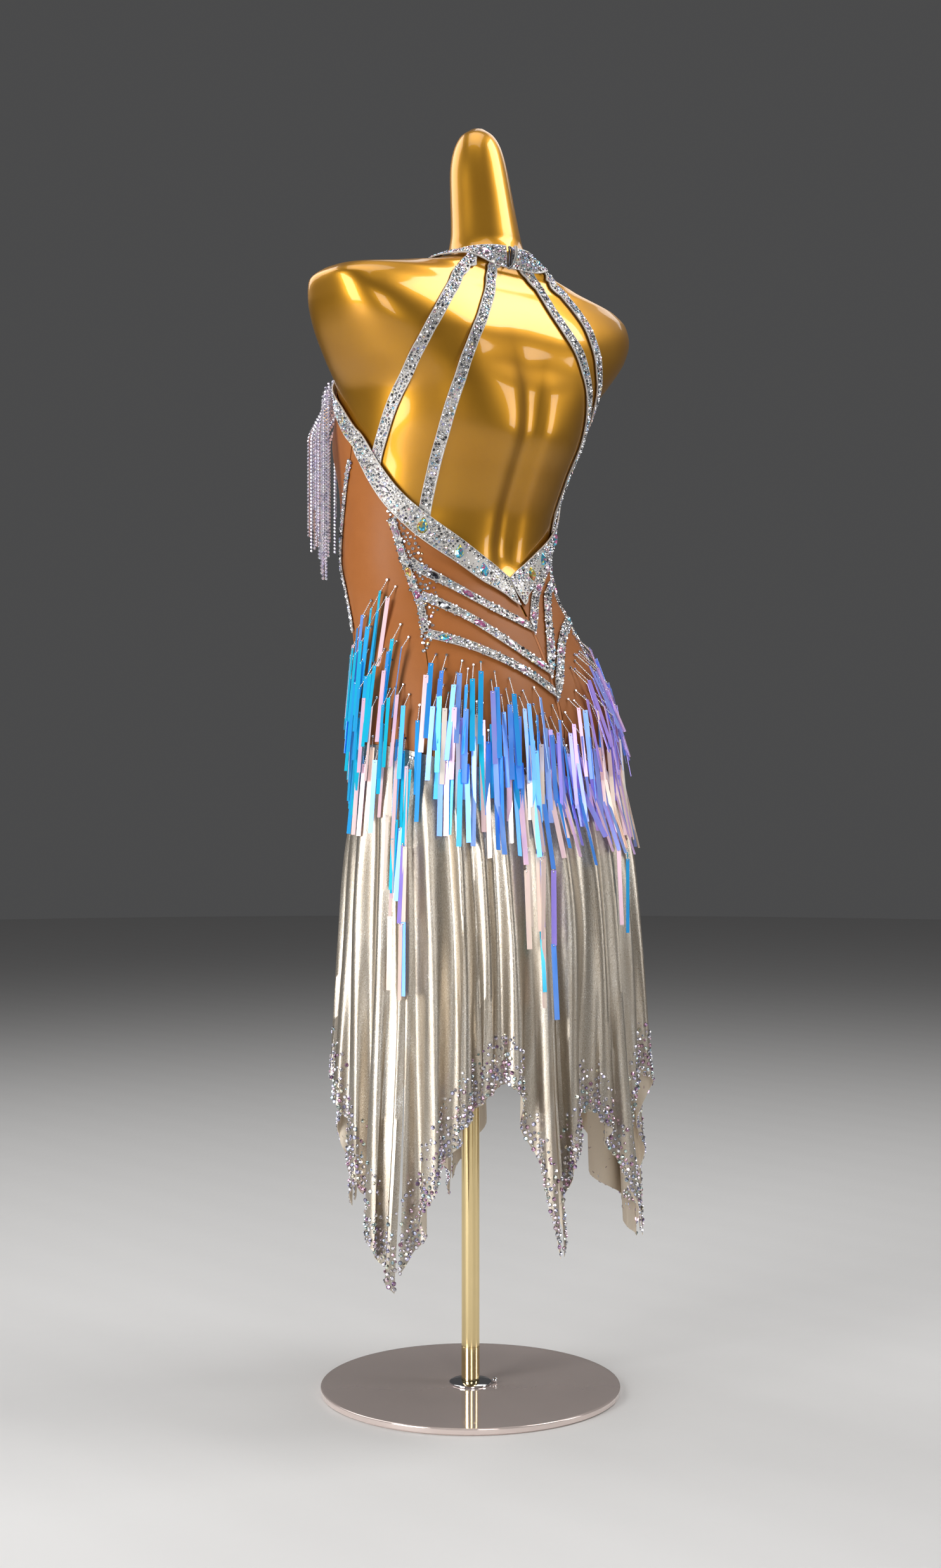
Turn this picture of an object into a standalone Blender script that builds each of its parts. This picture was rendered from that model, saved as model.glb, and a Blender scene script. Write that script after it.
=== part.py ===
"""Latin dance dress on a limbless dress form with a round stand, in metres, +Z up.

The form faces -Y, its left side is at +X, the pole is on the Z axis and the base rests on Z = 0.
Angles go round the body: 0 degrees is its left side, 90 the back, 180 the right side, 270 the front.
"""

import math
from collections import namedtuple

import bmesh
import bpy
import numpy as np

MM = 0.001

# ---------------------------------------------------------------- stand
BASE_RADIUS = 0.178
BASE_THICKNESS = 0.008
BASE_BEVEL = 0.0015
FLANGE_RADIUS = 0.025
FLANGE_HEIGHT = 0.004
POLE_RADIUS = 0.0108
SEAM_GAP = 0.3 * MM

# ---------------------------------------------------------------- dress form
# Each row is one horizontal section: its height, how much higher its sides lie than its middle, where
# its middle lies along Y, its half width, its reach to the front and to the back, and its squareness
# (2 is an ellipse, 3 is nearly a rounded box).
Section = namedtuple("Section", "z rise centre half_width front back square")
FORM_SECTIONS = (
    Section(0.66, 0, 0.016, 0.148, 0.084, 0.104, 2.2),
    Section(0.705, 0, 0.02, 0.16, 0.094, 0.118, 2.2),
    Section(0.77, 0, 0.022, 0.165, 0.103, 0.128, 2.2),
    Section(0.826, 0, 0.013, 0.157, 0.108, 0.124, 2.15),
    Section(0.88, 0, -0.004, 0.146, 0.106, 0.116, 2.1),
    Section(0.917, 0, -0.02, 0.138, 0.103, 0.11, 2.1),
    Section(0.951, 0, -0.034, 0.135, 0.1, 0.102, 2.1),
    Section(0.986, 0, -0.043, 0.136, 0.099, 0.102, 2.1),
    Section(1.03, 0, -0.04, 0.138, 0.099, 0.106, 2.1),
    Section(1.084, 0, -0.03, 0.145, 0.1, 0.117, 2.15),
    Section(1.128, 0, -0.02, 0.153, 0.1, 0.126, 2.3),
    Section(1.17, 0, -0.012, 0.162, 0.094, 0.12, 2.6),
    Section(1.205, 0, -0.006, 0.192, 0.082, 0.108, 2.9),
    Section(1.235, 0.004, 0, 0.217, 0.074, 0.1, 3.2),
    Section(1.262, 0.004, 0.004, 0.228, 0.07, 0.088, 3.4),
    Section(1.284, 0.001, 0.006, 0.231, 0.068, 0.076, 3.2),
    Section(1.301, -0.003, 0.01, 0.219, 0.058, 0.064, 2.9),
    Section(1.316, -0.006, 0.016, 0.160, 0.048, 0.055, 2.4),
    Section(1.329, -0.004, 0.022, 0.086, 0.041, 0.053, 2.1),
    Section(1.341, 0, 0.026, 0.0505, 0.0385, 0.048, 2),
    Section(1.358, 0, 0.026, 0.0448, 0.0375, 0.04, 2),
    Section(1.38, 0, 0.0235, 0.0415, 0.0365, 0.038, 2),
    Section(1.41, 0, 0.019, 0.0385, 0.035, 0.036, 2),
    Section(1.445, 0, 0.0145, 0.035, 0.033, 0.0325, 2),
    Section(1.47, 0, 0.0125, 0.029, 0.0275, 0.0275, 2),
    Section(1.486, 0, 0.012, 0.02, 0.019, 0.019, 2),
    Section(1.494, 0, 0.012, 0.0085, 0.0085, 0.0085, 2),
)
RISE_SHARPNESS = 2.0


def smooth_curve(knots, values):
    """A monotone cubic through the points, as a function of a number or an array."""
    knots = np.asarray(knots, float)
    values = np.asarray(values, float)
    steps = np.diff(knots)
    slopes = np.diff(values) / steps
    tangents = np.zeros_like(values)
    tangents[0], tangents[-1] = slopes[0], slopes[-1]
    for i in range(1, len(slopes)):
        before, after = slopes[i - 1], slopes[i]
        if before * after > 0:
            near = 2 * steps[i] + steps[i - 1]
            far = steps[i] + 2 * steps[i - 1]
            tangents[i] = (near + far) / (near / before + far / after)

    def curve(at):
        at = np.clip(at, knots[0], knots[-1])
        i = np.clip(np.searchsorted(knots, at, side="right") - 1, 0, len(steps) - 1)
        t = (at - knots[i]) / steps[i]
        start = (1 + 2 * t) * (1 - t) ** 2 * values[i] + t * (1 - t) ** 2 * steps[i] * tangents[i]
        end = t**2 * (3 - 2 * t) * values[i + 1] + t**2 * (t - 1) * steps[i] * tangents[i + 1]
        return start + end

    return curve


FORM_CURVES = {
    name: smooth_curve(range(len(FORM_SECTIONS)), [getattr(s, name) for s in FORM_SECTIONS])
    for name in Section._fields
}


def hump(value, middle, spread):
    """A bell curve of height 1."""
    return np.exp(-(((value - middle) / spread) ** 2))


def ramp(value, low, high):
    """0 below low, 1 above high, smooth between."""
    t = np.clip((value - low) / (high - low), 0, 1)
    return t * t * (3 - 2 * t)


def power(base, exponent):
    """A signed power, which squares off a cosine or sine."""
    return np.sign(base) * np.abs(base) ** exponent


def form_relief(x, z, sine):
    """How far the bust, seat, shoulder blades and spine push the plain section along Y."""
    towards_back = np.clip(sine, 0, 1) ** 0.6
    towards_front = np.clip(-sine, 0, 1) ** 0.6
    bust = 0.045 * hump(np.abs(x), 0.073, 0.056) * hump(z, 1.128, 0.056)
    belly = 0.006 * hump(x, 0, 0.07) * hump(z, 0.89, 0.06)
    seat = 0.012 * hump(np.abs(x), 0.070, 0.050) * hump(z, 0.790, 0.065)
    blades = 0.004 * hump(np.abs(x), 0.085, 0.045) * hump(z, 1.215, 0.060)
    spine = 0.008 * hump(x, 0, 0.017) * ramp(z, 0.93, 1.0) * (1 - ramp(z, 1.15, 1.27))
    return towards_back * (seat + blades - spine) - towards_front * (bust + belly)


def form_point(angle, level):
    """Points of the form's surface at an angle in degrees and a level counted in table rows."""
    turn = np.radians(angle)
    cosine, sine = np.cos(turn), np.sin(turn)
    size = {name: curve(level) for name, curve in FORM_CURVES.items()}
    reach = np.where(sine > 0, size["back"], size["front"])
    x = size["half_width"] * power(cosine, 2 / size["square"])
    z = size["z"] + size["rise"] * np.abs(cosine) ** RISE_SHARPNESS
    y = size["centre"] + reach * power(sine, 2 / size["square"]) + form_relief(x, z, sine)
    return np.stack([x, y, z], axis=-1)


LEVEL_AT_HEIGHT = smooth_curve([s.z for s in FORM_SECTIONS], range(len(FORM_SECTIONS)))


def level_at(angle, z):
    """The level, counted in table rows, whose surface lies at height z at this angle."""
    side = np.abs(np.cos(np.radians(angle))) ** RISE_SHARPNESS
    level = LEVEL_AT_HEIGHT(z)
    for _ in range(3):
        level = LEVEL_AT_HEIGHT(z - FORM_CURVES["rise"](level) * side)
    return level


def unit(vectors):
    return vectors / np.linalg.norm(vectors, axis=-1, keepdims=True)


ANGLE_STEP = 1.5
HEIGHT_STEP = 0.002


def surface_slopes(angle, z):
    """How a surface point moves for each degree and for each metre of height."""
    level, higher, lower = (level_at(angle, z + rise) for rise in (0, HEIGHT_STEP, -HEIGHT_STEP))
    around = form_point(angle + ANGLE_STEP, level) - form_point(angle - ANGLE_STEP, level)
    upward = form_point(angle, higher) - form_point(angle, lower)
    return around / (2 * ANGLE_STEP), upward / (2 * HEIGHT_STEP)


def surface_point(angle, z, offset):
    """Points that lie a distance outside the form, at an angle in degrees and a height."""
    angle, z, offset = np.broadcast_arrays(*(np.asarray(v, float) for v in (angle, z, offset)))
    around, upward = surface_slopes(angle, z)
    return form_point(angle, level_at(angle, z)) + unit(np.cross(around, upward)) * offset[..., None]


# ---------------------------------------------------------------- making objects
COLLECTION_NAME = "dance_dress"
SHARP_ANGLE = 40
Finish = namedtuple("Finish", "colour roughness metallic")
FINISHES = {
    "gold_lacquer": Finish((0.72, 0.43, 0.12), 0.22, 0.9),
    "polished_brass": Finish((0.85, 0.68, 0.38), 0.12, 1.0),
    "mirror_plate": Finish((0.62, 0.56, 0.54), 0.08, 1.0),
    "chrome": Finish((0.85, 0.85, 0.87), 0.1, 1.0),
    "tan_mesh": Finish((0.52, 0.20, 0.08), 0.55, 0.0),
    "crystal_trim": Finish((0.78, 0.78, 0.82), 0.25, 0.6),
    "silver_lame": Finish((0.42, 0.38, 0.33), 0.3, 0.8),
    "iridescent_strip": Finish((0.35, 0.55, 0.90), 0.15, 0.3),
    "crystal_chain": Finish((0.72, 0.66, 0.80), 0.2, 0.6),
}


def clear_scene():
    for leftover in list(bpy.data.objects):
        bpy.data.objects.remove(leftover)


def new_material(name):
    finish = FINISHES[name]
    made = bpy.data.materials.new(name)
    made.use_nodes = True
    shader = made.node_tree.nodes["Principled BSDF"]
    shader.inputs["Base Color"].default_value = (*finish.colour, 1.0)
    shader.inputs["Roughness"].default_value = finish.roughness
    shader.inputs["Metallic"].default_value = finish.metallic
    made.diffuse_color = (*finish.colour, 1.0)
    return made


class Workshop:
    """Makes the objects and keeps their collection and materials."""

    def __init__(self):
        self.collection = bpy.data.collections.new(COLLECTION_NAME)
        bpy.context.scene.collection.children.link(self.collection)
        self.materials = {name: new_material(name) for name in FINISHES}

    def add_shape(self, name, shape, material):
        """Turns a bmesh into a named object."""
        mesh = bpy.data.meshes.new(name)
        shape.to_mesh(mesh)
        shape.free()
        mesh.materials.append(self.materials[material])
        mesh.shade_smooth()
        mesh.set_sharp_from_angle(angle=math.radians(SHARP_ANGLE))
        made = bpy.data.objects.new(name, mesh)
        self.collection.objects.link(made)
        return made

    def add_disc(self, name, radius, low, high, sides, material, bevel=0.0):
        """An upright cylinder from one height to another, which is returned."""
        shape = bmesh.new()
        bmesh.ops.create_cone(
            shape, cap_ends=True, segments=sides, radius1=radius, radius2=radius, depth=high - low
        )
        made = self.add_shape(name, shape, material)
        made.location.z = (low + high) / 2
        if bevel:
            rounding = made.modifiers.new("edge", "BEVEL")
            rounding.width = bevel
            rounding.segments = 1
        return made

    def add_cloth(self, name, grid, thickness, material):
        """A cloth wall on a grid of points [row, column]: its inner face is the grid."""
        places = np.arange(len(grid[0]))
        self.add_panel(name, [(places, row) for row in grid], thickness, material)

    def add_panel(self, name, rows, thickness, material):
        """A cloth wall on rows of points, each with its points' places along it, which may differ in number."""
        shape = bmesh.new()
        placed = [(places, [shape.verts.new(p) for p in points]) for places, points in rows]
        for (low_at, low), (high_at, high) in zip(placed, placed[1:]):
            i = j = 0
            while i < len(low) - 1 or j < len(high) - 1:
                if j == len(high) - 1 or (i < len(low) - 1 and low_at[i + 1] <= high_at[j + 1]):
                    shape.faces.new((low[i], low[i + 1], high[j]))
                    i += 1
                else:
                    shape.faces.new((low[i], high[j + 1], high[j]))
                    j += 1
        made = self.add_shape(name, shape, material)
        wall = made.modifiers.new("wall", "SOLIDIFY")
        wall.thickness = thickness
        wall.offset = 1.0


# ---------------------------------------------------------------- stand and form
BASE_SIDES = 48
POLE_SIDES = 24
FORM_LOW = FORM_SECTIONS[0].z
SOCKET_RADIUS = 0.032
SOCKET_HEIGHT = 0.016
SCREW_RADIUS = 0.0032
SCREW_LENGTH = 0.006
SCREW_SIDES = 12
SCREW_BEARING = 137

# Columns as degrees away from the middle of the front and of the back, closest where the sections are flat.
QUARTER_COLUMNS = (0, 5, 11, 18, 26, 35, 45, 56, 67, 78)
FORM_ANGLES = sorted(
    {middle + side * step for middle in (90, 270) for side in (-1, 1) for step in QUARTER_COLUMNS} | {0, 180}
)
# The rings' heights at the sides. The bodice panels have their rows on the same rings.
FORM_HEIGHTS = (
    0.660, 0.698, 0.734, 0.765, 0.787, 0.810, 0.833, 0.856, 0.880, 0.905, 0.926, 0.944, 0.961, 0.979, 0.999,
    1.022, 1.046, 1.070, 1.093, 1.113, 1.131, 1.149, 1.162, 1.174, 1.186, 1.198, 1.212, 1.235, 1.262, 1.284,
    1.301, 1.314, 1.322, 1.331, 1.342, 1.358, 1.395, 1.445, 1.470, 1.486, 1.494,
)
HIP_SEAM_SIDE = 0.765
HIP_SEAM_DIP = 0.036
HIP_FADE_TOP = 0.870


def hip_seam(angle):
    """The height of the seam between bodice and skirt, which dips at the back."""
    return HIP_SEAM_SIDE - HIP_SEAM_DIP * np.clip(np.sin(np.radians(angle)), 0, 1) ** 1.5


def ring_heights(angle, z):
    """The heights of a ring of the form: it rises with the shoulders and dips with the hip seam."""
    rise = FORM_CURVES["rise"](LEVEL_AT_HEIGHT(z)) * np.abs(np.cos(np.radians(angle))) ** RISE_SHARPNESS
    near_seam = np.interp(z, (FORM_LOW, HIP_SEAM_SIDE, HIP_FADE_TOP), (0, 1, 0))
    return z + rise + near_seam * (hip_seam(angle) - HIP_SEAM_SIDE)


def make_stand(shop):
    flange_low = BASE_THICKNESS + SEAM_GAP
    pole_low = flange_low + FLANGE_HEIGHT + SEAM_GAP
    socket_low = FORM_LOW - SEAM_GAP - SOCKET_HEIGHT
    shop.add_disc("base_plate", BASE_RADIUS, 0, BASE_THICKNESS, BASE_SIDES, "mirror_plate", BASE_BEVEL)
    shop.add_disc("base_flange", FLANGE_RADIUS, flange_low, flange_low + FLANGE_HEIGHT, POLE_SIDES, "chrome")
    shop.add_disc("pole", POLE_RADIUS, pole_low, socket_low - SEAM_GAP, POLE_SIDES, "polished_brass")
    shop.add_disc("form_socket", SOCKET_RADIUS, socket_low, FORM_LOW - SEAM_GAP, POLE_SIDES, "chrome")
    half = SCREW_LENGTH / 2
    screw = shop.add_disc("flange_screw", SCREW_RADIUS, -half, half, SCREW_SIDES, "chrome")
    bearing = math.radians(SCREW_BEARING)
    reach = FLANGE_RADIUS + SEAM_GAP + half
    screw.rotation_euler = (0, math.pi / 2, bearing)
    screw.location = (reach * math.cos(bearing), reach * math.sin(bearing), flange_low + SCREW_RADIUS)


def make_form(shop):
    shape = bmesh.new()
    rings = []
    for z in FORM_HEIGHTS:
        levels = level_at(FORM_ANGLES, ring_heights(FORM_ANGLES, z))
        rings.append([shape.verts.new(p) for p in form_point(FORM_ANGLES, levels)])
    for low, high in zip(rings, rings[1:]):
        for i, corner in enumerate(low):
            j = (i + 1) % len(low)
            shape.faces.new((corner, low[j], high[i]))
            shape.faces.new((low[j], high[j], high[i]))
    caps = [shape.faces.new(rings[0][::-1]), shape.faces.new(rings[-1])]
    bmesh.ops.triangulate(shape, faces=caps)
    shop.add_shape("form_torso", shape, "gold_lacquer")


# ---------------------------------------------------------------- bodice of tan mesh
CLOTH_GAP = 1.2 * MM
FRONT_GAP = 1.7 * MM
MESH_THICKNESS = 1.2 * MM
TRIM_GAP = 3.5 * MM
BAND_GAP = 4.6 * MM
TRIM_THICKNESS = 1.5 * MM
STRAP_GAP = 1.7 * MM

BACK_MIDDLE = 90
SEAM_HALF_ANGLE = 0.25
ZIP_HALF_WIDTH = 1.6 * MM
ZIP_CLEAR_ANGLE = 0.75
ZIP_LOW = 0.734
ZIP_HIGH = 0.912
ZIP_STEPS = 9

ROW_ROOM = 0.006
COLUMN_ROOM = 2.5

# Lines down the body: the angle of each line at some heights.
LinePoint = namedtuple("LinePoint", "z angle")
SIDE_BACK_SEAM = (
    LinePoint(0.700, 31.0), LinePoint(0.902, 31.5), LinePoint(0.942, 32.5), LinePoint(0.982, 30.5),
    LinePoint(1.029, 23.0), LinePoint(1.060, 18.0), LinePoint(1.089, 13.5),
)
SIDE_FRONT_SEAM = (
    LinePoint(0.700, -26.0), LinePoint(0.880, -24.0), LinePoint(0.950, -26.0), LinePoint(1.000, -23.0),
    LinePoint(1.040, -17.0), LinePoint(1.080, -10.0), LinePoint(1.115, -5.0),
)
ARMHOLE = (
    LinePoint(1.115, -5.0), LinePoint(1.140, -9.0), LinePoint(1.160, -19.0), LinePoint(1.178, -38.0),
    LinePoint(1.195, -58.5), LinePoint(1.220, -70.0), LinePoint(1.250, -76.0), LinePoint(1.280, -79.5),
    LinePoint(1.302, -78.0), LinePoint(1.318, -73.0), LinePoint(1.330, -66.0),
)
# The upper edge of the open back, from the middle of the back round to the armhole and up to the neck.
NECKLINE = (
    LinePoint(0.933, 104.0), LinePoint(0.958, 90.0), LinePoint(0.994, 69.5), LinePoint(1.029, 44.5),
    LinePoint(1.056, 28.0), LinePoint(1.089, 13.5), LinePoint(1.129, -1.0), LinePoint(1.160, -15.0),
    LinePoint(1.178, -31.0), LinePoint(1.197, -52.0), LinePoint(1.224, -67.0), LinePoint(1.252, -74.5),
    LinePoint(1.280, -78.0), LinePoint(1.302, -76.5), LinePoint(1.318, -71.5),
)


def line(points):
    """The angle of a line as a function of height."""
    return smooth_curve([p.z for p in points], [p.angle for p in points])


side_back = line(SIDE_BACK_SEAM)
side_front = line(SIDE_FRONT_SEAM)
armhole = line(ARMHOLE)


def panel(low_angle, high_angle, top, gap=CLOTH_GAP):
    """Rows of angles and points from the hip seam up to a height, between two lines of angles.

    The rows and columns are those of the form, so that the panel's facets lie along the form's.
    """
    rows = []
    for z in [HIP_SEAM_SIDE, *(h for h in FORM_HEIGHTS if HIP_SEAM_SIDE + ROW_ROOM < h < top - ROW_ROOM), top]:
        low, high = low_angle(z), high_angle(z)
        columns = [a + turn for turn in (-360, 0) for a in FORM_ANGLES]
        angles = np.array([low, *(a for a in columns if low + COLUMN_ROOM < a < high - COLUMN_ROOM), high])
        rows.append((angles, surface_point(angles, ring_heights(angles, z), gap)))
    return rows


def mirrored_rows(rows):
    return [(180 - angles[::-1], points[::-1] * (-1, 1, 1)) for angles, points in rows]


def mirrored(grid):
    return grid[:, ::-1] * (-1, 1, 1)


OPEN_BACK_LOW = 0.925
BAND_INSET = 0.008
BACK_PANEL_TOP = 1.058
SIDE_PANEL_TOP = 1.108
FRONT_PANEL_TOP = 1.314

neckline = smooth_curve([p.z for p in NECKLINE[1:]], [p.angle for p in NECKLINE[1:]])


def back_edge(z):
    """The free edge of a back panel: the zip, then the slanted edge of the open back."""
    if z < OPEN_BACK_LOW:
        return BACK_MIDDLE - ZIP_CLEAR_ANGLE
    return min(BACK_MIDDLE - ZIP_CLEAR_ANGLE, float(neckline(max(z + BAND_INSET, NECKLINE[1].z))))


def side_edge(z):
    """The back edge of a side panel: the seam, then the edge of the open back."""
    seam = float(side_back(z)) - SEAM_HALF_ANGLE
    return min(seam, float(neckline(z + BAND_INSET)) - SEAM_HALF_ANGLE) if z > BACK_PANEL_TOP else seam


def front_edge(z):
    """The front panel's edge on its left side: the seam, then the armhole."""
    return float(side_front(z) if z < ARMHOLE[0].z else armhole(z)) - SEAM_HALF_ANGLE


def make_bodice(shop):
    back = panel(lambda z: float(side_back(z)) + SEAM_HALF_ANGLE, back_edge, BACK_PANEL_TOP)
    side = panel(lambda z: float(side_front(z)) + SEAM_HALF_ANGLE, side_edge, SIDE_PANEL_TOP)
    front = panel(lambda z: -180 - front_edge(z), front_edge, FRONT_PANEL_TOP, FRONT_GAP)
    shop.add_panel("bodice_back_left", back, MESH_THICKNESS, "tan_mesh")
    shop.add_panel("bodice_back_right", mirrored_rows(back), MESH_THICKNESS, "tan_mesh")
    shop.add_panel("bodice_side_left", side, MESH_THICKNESS, "tan_mesh")
    shop.add_panel("bodice_side_right", mirrored_rows(side), MESH_THICKNESS, "tan_mesh")
    shop.add_panel("bodice_front", front, MESH_THICKNESS, "tan_mesh")


# ---------------------------------------------------------------- bands, straps and chevrons
def route_curves(route):
    """Angle and height along a route as functions of the distance walked, and where its points lie."""
    points = surface_point([p.angle for p in route], [p.z for p in route], 0)
    walked = np.concatenate([[0], np.cumsum(np.linalg.norm(np.diff(points, axis=0), axis=1))])
    return smooth_curve(walked, [p.angle for p in route]), smooth_curve(walked, [p.z for p in route]), walked


def strip(route, sides, offset, steps, start=0, mitre=0.0, first=0):
    """A grid along a route. Each row lies a distance to the side of it, and the rows' starts are slanted.

    sides holds, for each row, its distance at the start and at the end of the route.
    """
    angle_at, height_at, walked = route_curves(route)
    grid = []
    for near, far in sides:
        at = np.linspace(walked[first] + start - mitre * near, walked[-1], steps)
        aside = np.linspace(near, far, steps)
        angle, z = angle_at(at), height_at(at)
        around, upward = surface_slopes(angle, z)
        inner = np.clip(at, MM, walked[-1] - MM)
        ahead = surface_point(angle_at(inner + MM), height_at(inner + MM), 0)
        ahead = ahead - surface_point(angle_at(inner - MM), height_at(inner - MM), 0)
        across = unit(np.cross(np.cross(around, upward), ahead))
        aa, ab, bb = (around * around).sum(-1), (around * upward).sum(-1), (upward * upward).sum(-1)
        wa, wb = (across * around).sum(-1) * aside, (across * upward).sum(-1) * aside
        scale = aa * bb - ab * ab
        grid.append(surface_point(angle + (wa * bb - wb * ab) / scale, z + (wb * aa - wa * ab) / scale, offset))
    return np.array(grid)


def level_sides(half_width):
    """The two edges of a strip of one width, centred on its route."""
    return [(-half_width, -half_width), (half_width, half_width)]


def both_sides(shop, name, grid, thickness, material):
    shop.add_cloth(name + "_left", grid, thickness, material)
    shop.add_cloth(name + "_right", mirrored(grid), thickness, material)


BAND_WIDTH = 0.032
BAND_END_WIDTH = 0.014
BAND_STEPS = 30
BAND_START = 0.0006
BAND_MITRE = 0.72
CHEVRON_STEPS = 9
SIDE_TRIM_STEPS = 8
STRAP_HALF_WIDTH = 0.007
CHEVRON_HALF_WIDTH = 0.0053
SIDE_TRIM_HALF_WIDTH = 0.005
FRONT_TRIM_HALF_WIDTH = 0.003
NECKBAND_HALF_WIDTH = 0.0105
NECKBAND_BACK_HEIGHT = 1.3300
NECKBAND_SIDE_HEIGHT = 1.3325
NECKBAND_BACK_GAP = 4.2 * MM
NECKBAND_SIDE_GAP = 2.2 * MM
CLASP_ANGLE = 83.5
NECKBAND_END = 4
CLASP_END = 3.2
CLASP_HALF_WIDTH = 0.0095

Strap = namedtuple("Strap", "name steps route")
STRAPS = (
    Strap("strap_inner_left", 18, (
        LinePoint(1.3180, 81.5), LinePoint(1.307, 84.5), LinePoint(1.293, 85.5), LinePoint(1.273, 84.5),
        LinePoint(1.233, 76.5), LinePoint(1.202, 67.5), LinePoint(1.170, 55.5), LinePoint(1.140, 47.5),
        LinePoint(1.106, 45.5), LinePoint(1.036, 44.3))),
    Strap("strap_outer_left", 18, (
        LinePoint(1.3165, 69.6), LinePoint(1.308, 73.2), LinePoint(1.297, 74.0), LinePoint(1.282, 71.8),
        LinePoint(1.243, 61.5), LinePoint(1.206, 44.0), LinePoint(1.172, 24.5), LinePoint(1.143, 16.5),
        LinePoint(1.109, 13.0), LinePoint(1.097, 12.4))),
    Strap("strap_inner_right", 18, (
        LinePoint(1.3170, 82.5), LinePoint(1.307, 84.5), LinePoint(1.288, 85.5), LinePoint(1.262, 84.0),
        LinePoint(1.235, 79.0), LinePoint(1.208, 71.5), LinePoint(1.181, 61.0), LinePoint(1.157, 53.0),
        LinePoint(1.130, 47.0), LinePoint(1.036, 44.3))),
    Strap("strap_outer_right", 18, (
        LinePoint(1.3160, 64.0), LinePoint(1.311, 66.0), LinePoint(1.300, 70.0), LinePoint(1.283, 72.5),
        LinePoint(1.249, 71.0), LinePoint(1.216, 63.0), LinePoint(1.192, 51.5), LinePoint(1.170, 38.0),
        LinePoint(1.143, 21.0), LinePoint(1.109, 13.0), LinePoint(1.097, 12.4))),
)
ChevronArm = namedtuple("ChevronArm", "name gap start mitre route")
CHEVRON_ARMS = (
    ChevronArm("chevron_1_left", 3.5 * MM, 0.0006, 0.6, (
        LinePoint(0.873, 98), LinePoint(0.885, 90), LinePoint(0.894, 84.5), LinePoint(0.920, 66.5),
        LinePoint(0.946, 51), LinePoint(0.974, 37.5))),
    ChevronArm("chevron_2_left", 3.7 * MM, 0.0012, 0.84, (
        LinePoint(0.800, 98), LinePoint(0.818, 90), LinePoint(0.857, 72.5), LinePoint(0.897, 58),
        LinePoint(0.926, 44.5), LinePoint(0.937, 37.8))),
    ChevronArm("chevron_3_left", 4.0 * MM, 0.022, 3.6, (
        LinePoint(0.806, 98), LinePoint(0.816, 90), LinePoint(0.844, 67.5), LinePoint(0.867, 51.5),
        LinePoint(0.884, 37.0))),
    ChevronArm("chevron_1_right", 3.6 * MM, 0.0012, 1.7, (
        LinePoint(0.840, 98), LinePoint(0.889, 90), LinePoint(0.911, 83), LinePoint(0.938, 70),
        LinePoint(0.966, 53), LinePoint(0.985, 38))),
    ChevronArm("chevron_2_right", 3.7 * MM, 0.0020, 2.3, (
        LinePoint(0.780, 96), LinePoint(0.820, 90), LinePoint(0.850, 85), LinePoint(0.882, 79),
        LinePoint(0.912, 69.5), LinePoint(0.942, 54), LinePoint(0.956, 38))),
    ChevronArm("chevron_3_right", 4.0 * MM, 0.034, 3.8, (
        LinePoint(0.806, 95), LinePoint(0.818, 90), LinePoint(0.842, 83), LinePoint(0.874, 72),
        LinePoint(0.906, 55), LinePoint(0.920, 38))),
)
SIDE_BACK_TRIM = (
    LinePoint(1.020, 24.5), LinePoint(0.982, 30.5), LinePoint(0.942, 32.5), LinePoint(0.902, 31.5),
)
SIDE_FRONT_TRIM = (
    LinePoint(1.086, -9.0), LinePoint(1.040, -17), LinePoint(1.000, -23), LinePoint(0.950, -26),
    LinePoint(0.898, -24.4),
)


def make_trim(shop):
    band = strip(NECKLINE, [(0, 0), (BAND_WIDTH / 2, BAND_END_WIDTH / 2), (BAND_WIDTH, BAND_END_WIDTH)],
                 BAND_GAP, BAND_STEPS, BAND_START, BAND_MITRE, first=1)
    both_sides(shop, "open_back_band", band, TRIM_THICKNESS, "crystal_trim")
    for strap in STRAPS:
        grid = strip(strap.route, level_sides(STRAP_HALF_WIDTH), STRAP_GAP, strap.steps)
        grid = mirrored(grid) if strap.name.endswith("right") else grid
        shop.add_cloth(strap.name, grid, TRIM_THICKNESS, "crystal_trim")
    for arm in CHEVRON_ARMS:
        sides = level_sides(CHEVRON_HALF_WIDTH)
        grid = strip(arm.route, sides, arm.gap, CHEVRON_STEPS, arm.start, arm.mitre, first=1)
        grid = mirrored(grid) if arm.name.endswith("right") else grid
        shop.add_cloth(arm.name, grid, TRIM_THICKNESS, "crystal_trim")
    side = strip(SIDE_BACK_TRIM, level_sides(SIDE_TRIM_HALF_WIDTH), TRIM_GAP, SIDE_TRIM_STEPS)
    both_sides(shop, "side_back_trim", side, TRIM_THICKNESS, "crystal_trim")
    front = strip(SIDE_FRONT_TRIM, level_sides(FRONT_TRIM_HALF_WIDTH), TRIM_GAP, SIDE_TRIM_STEPS)
    both_sides(shop, "side_front_trim", front, TRIM_THICKNESS, "crystal_trim")


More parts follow.
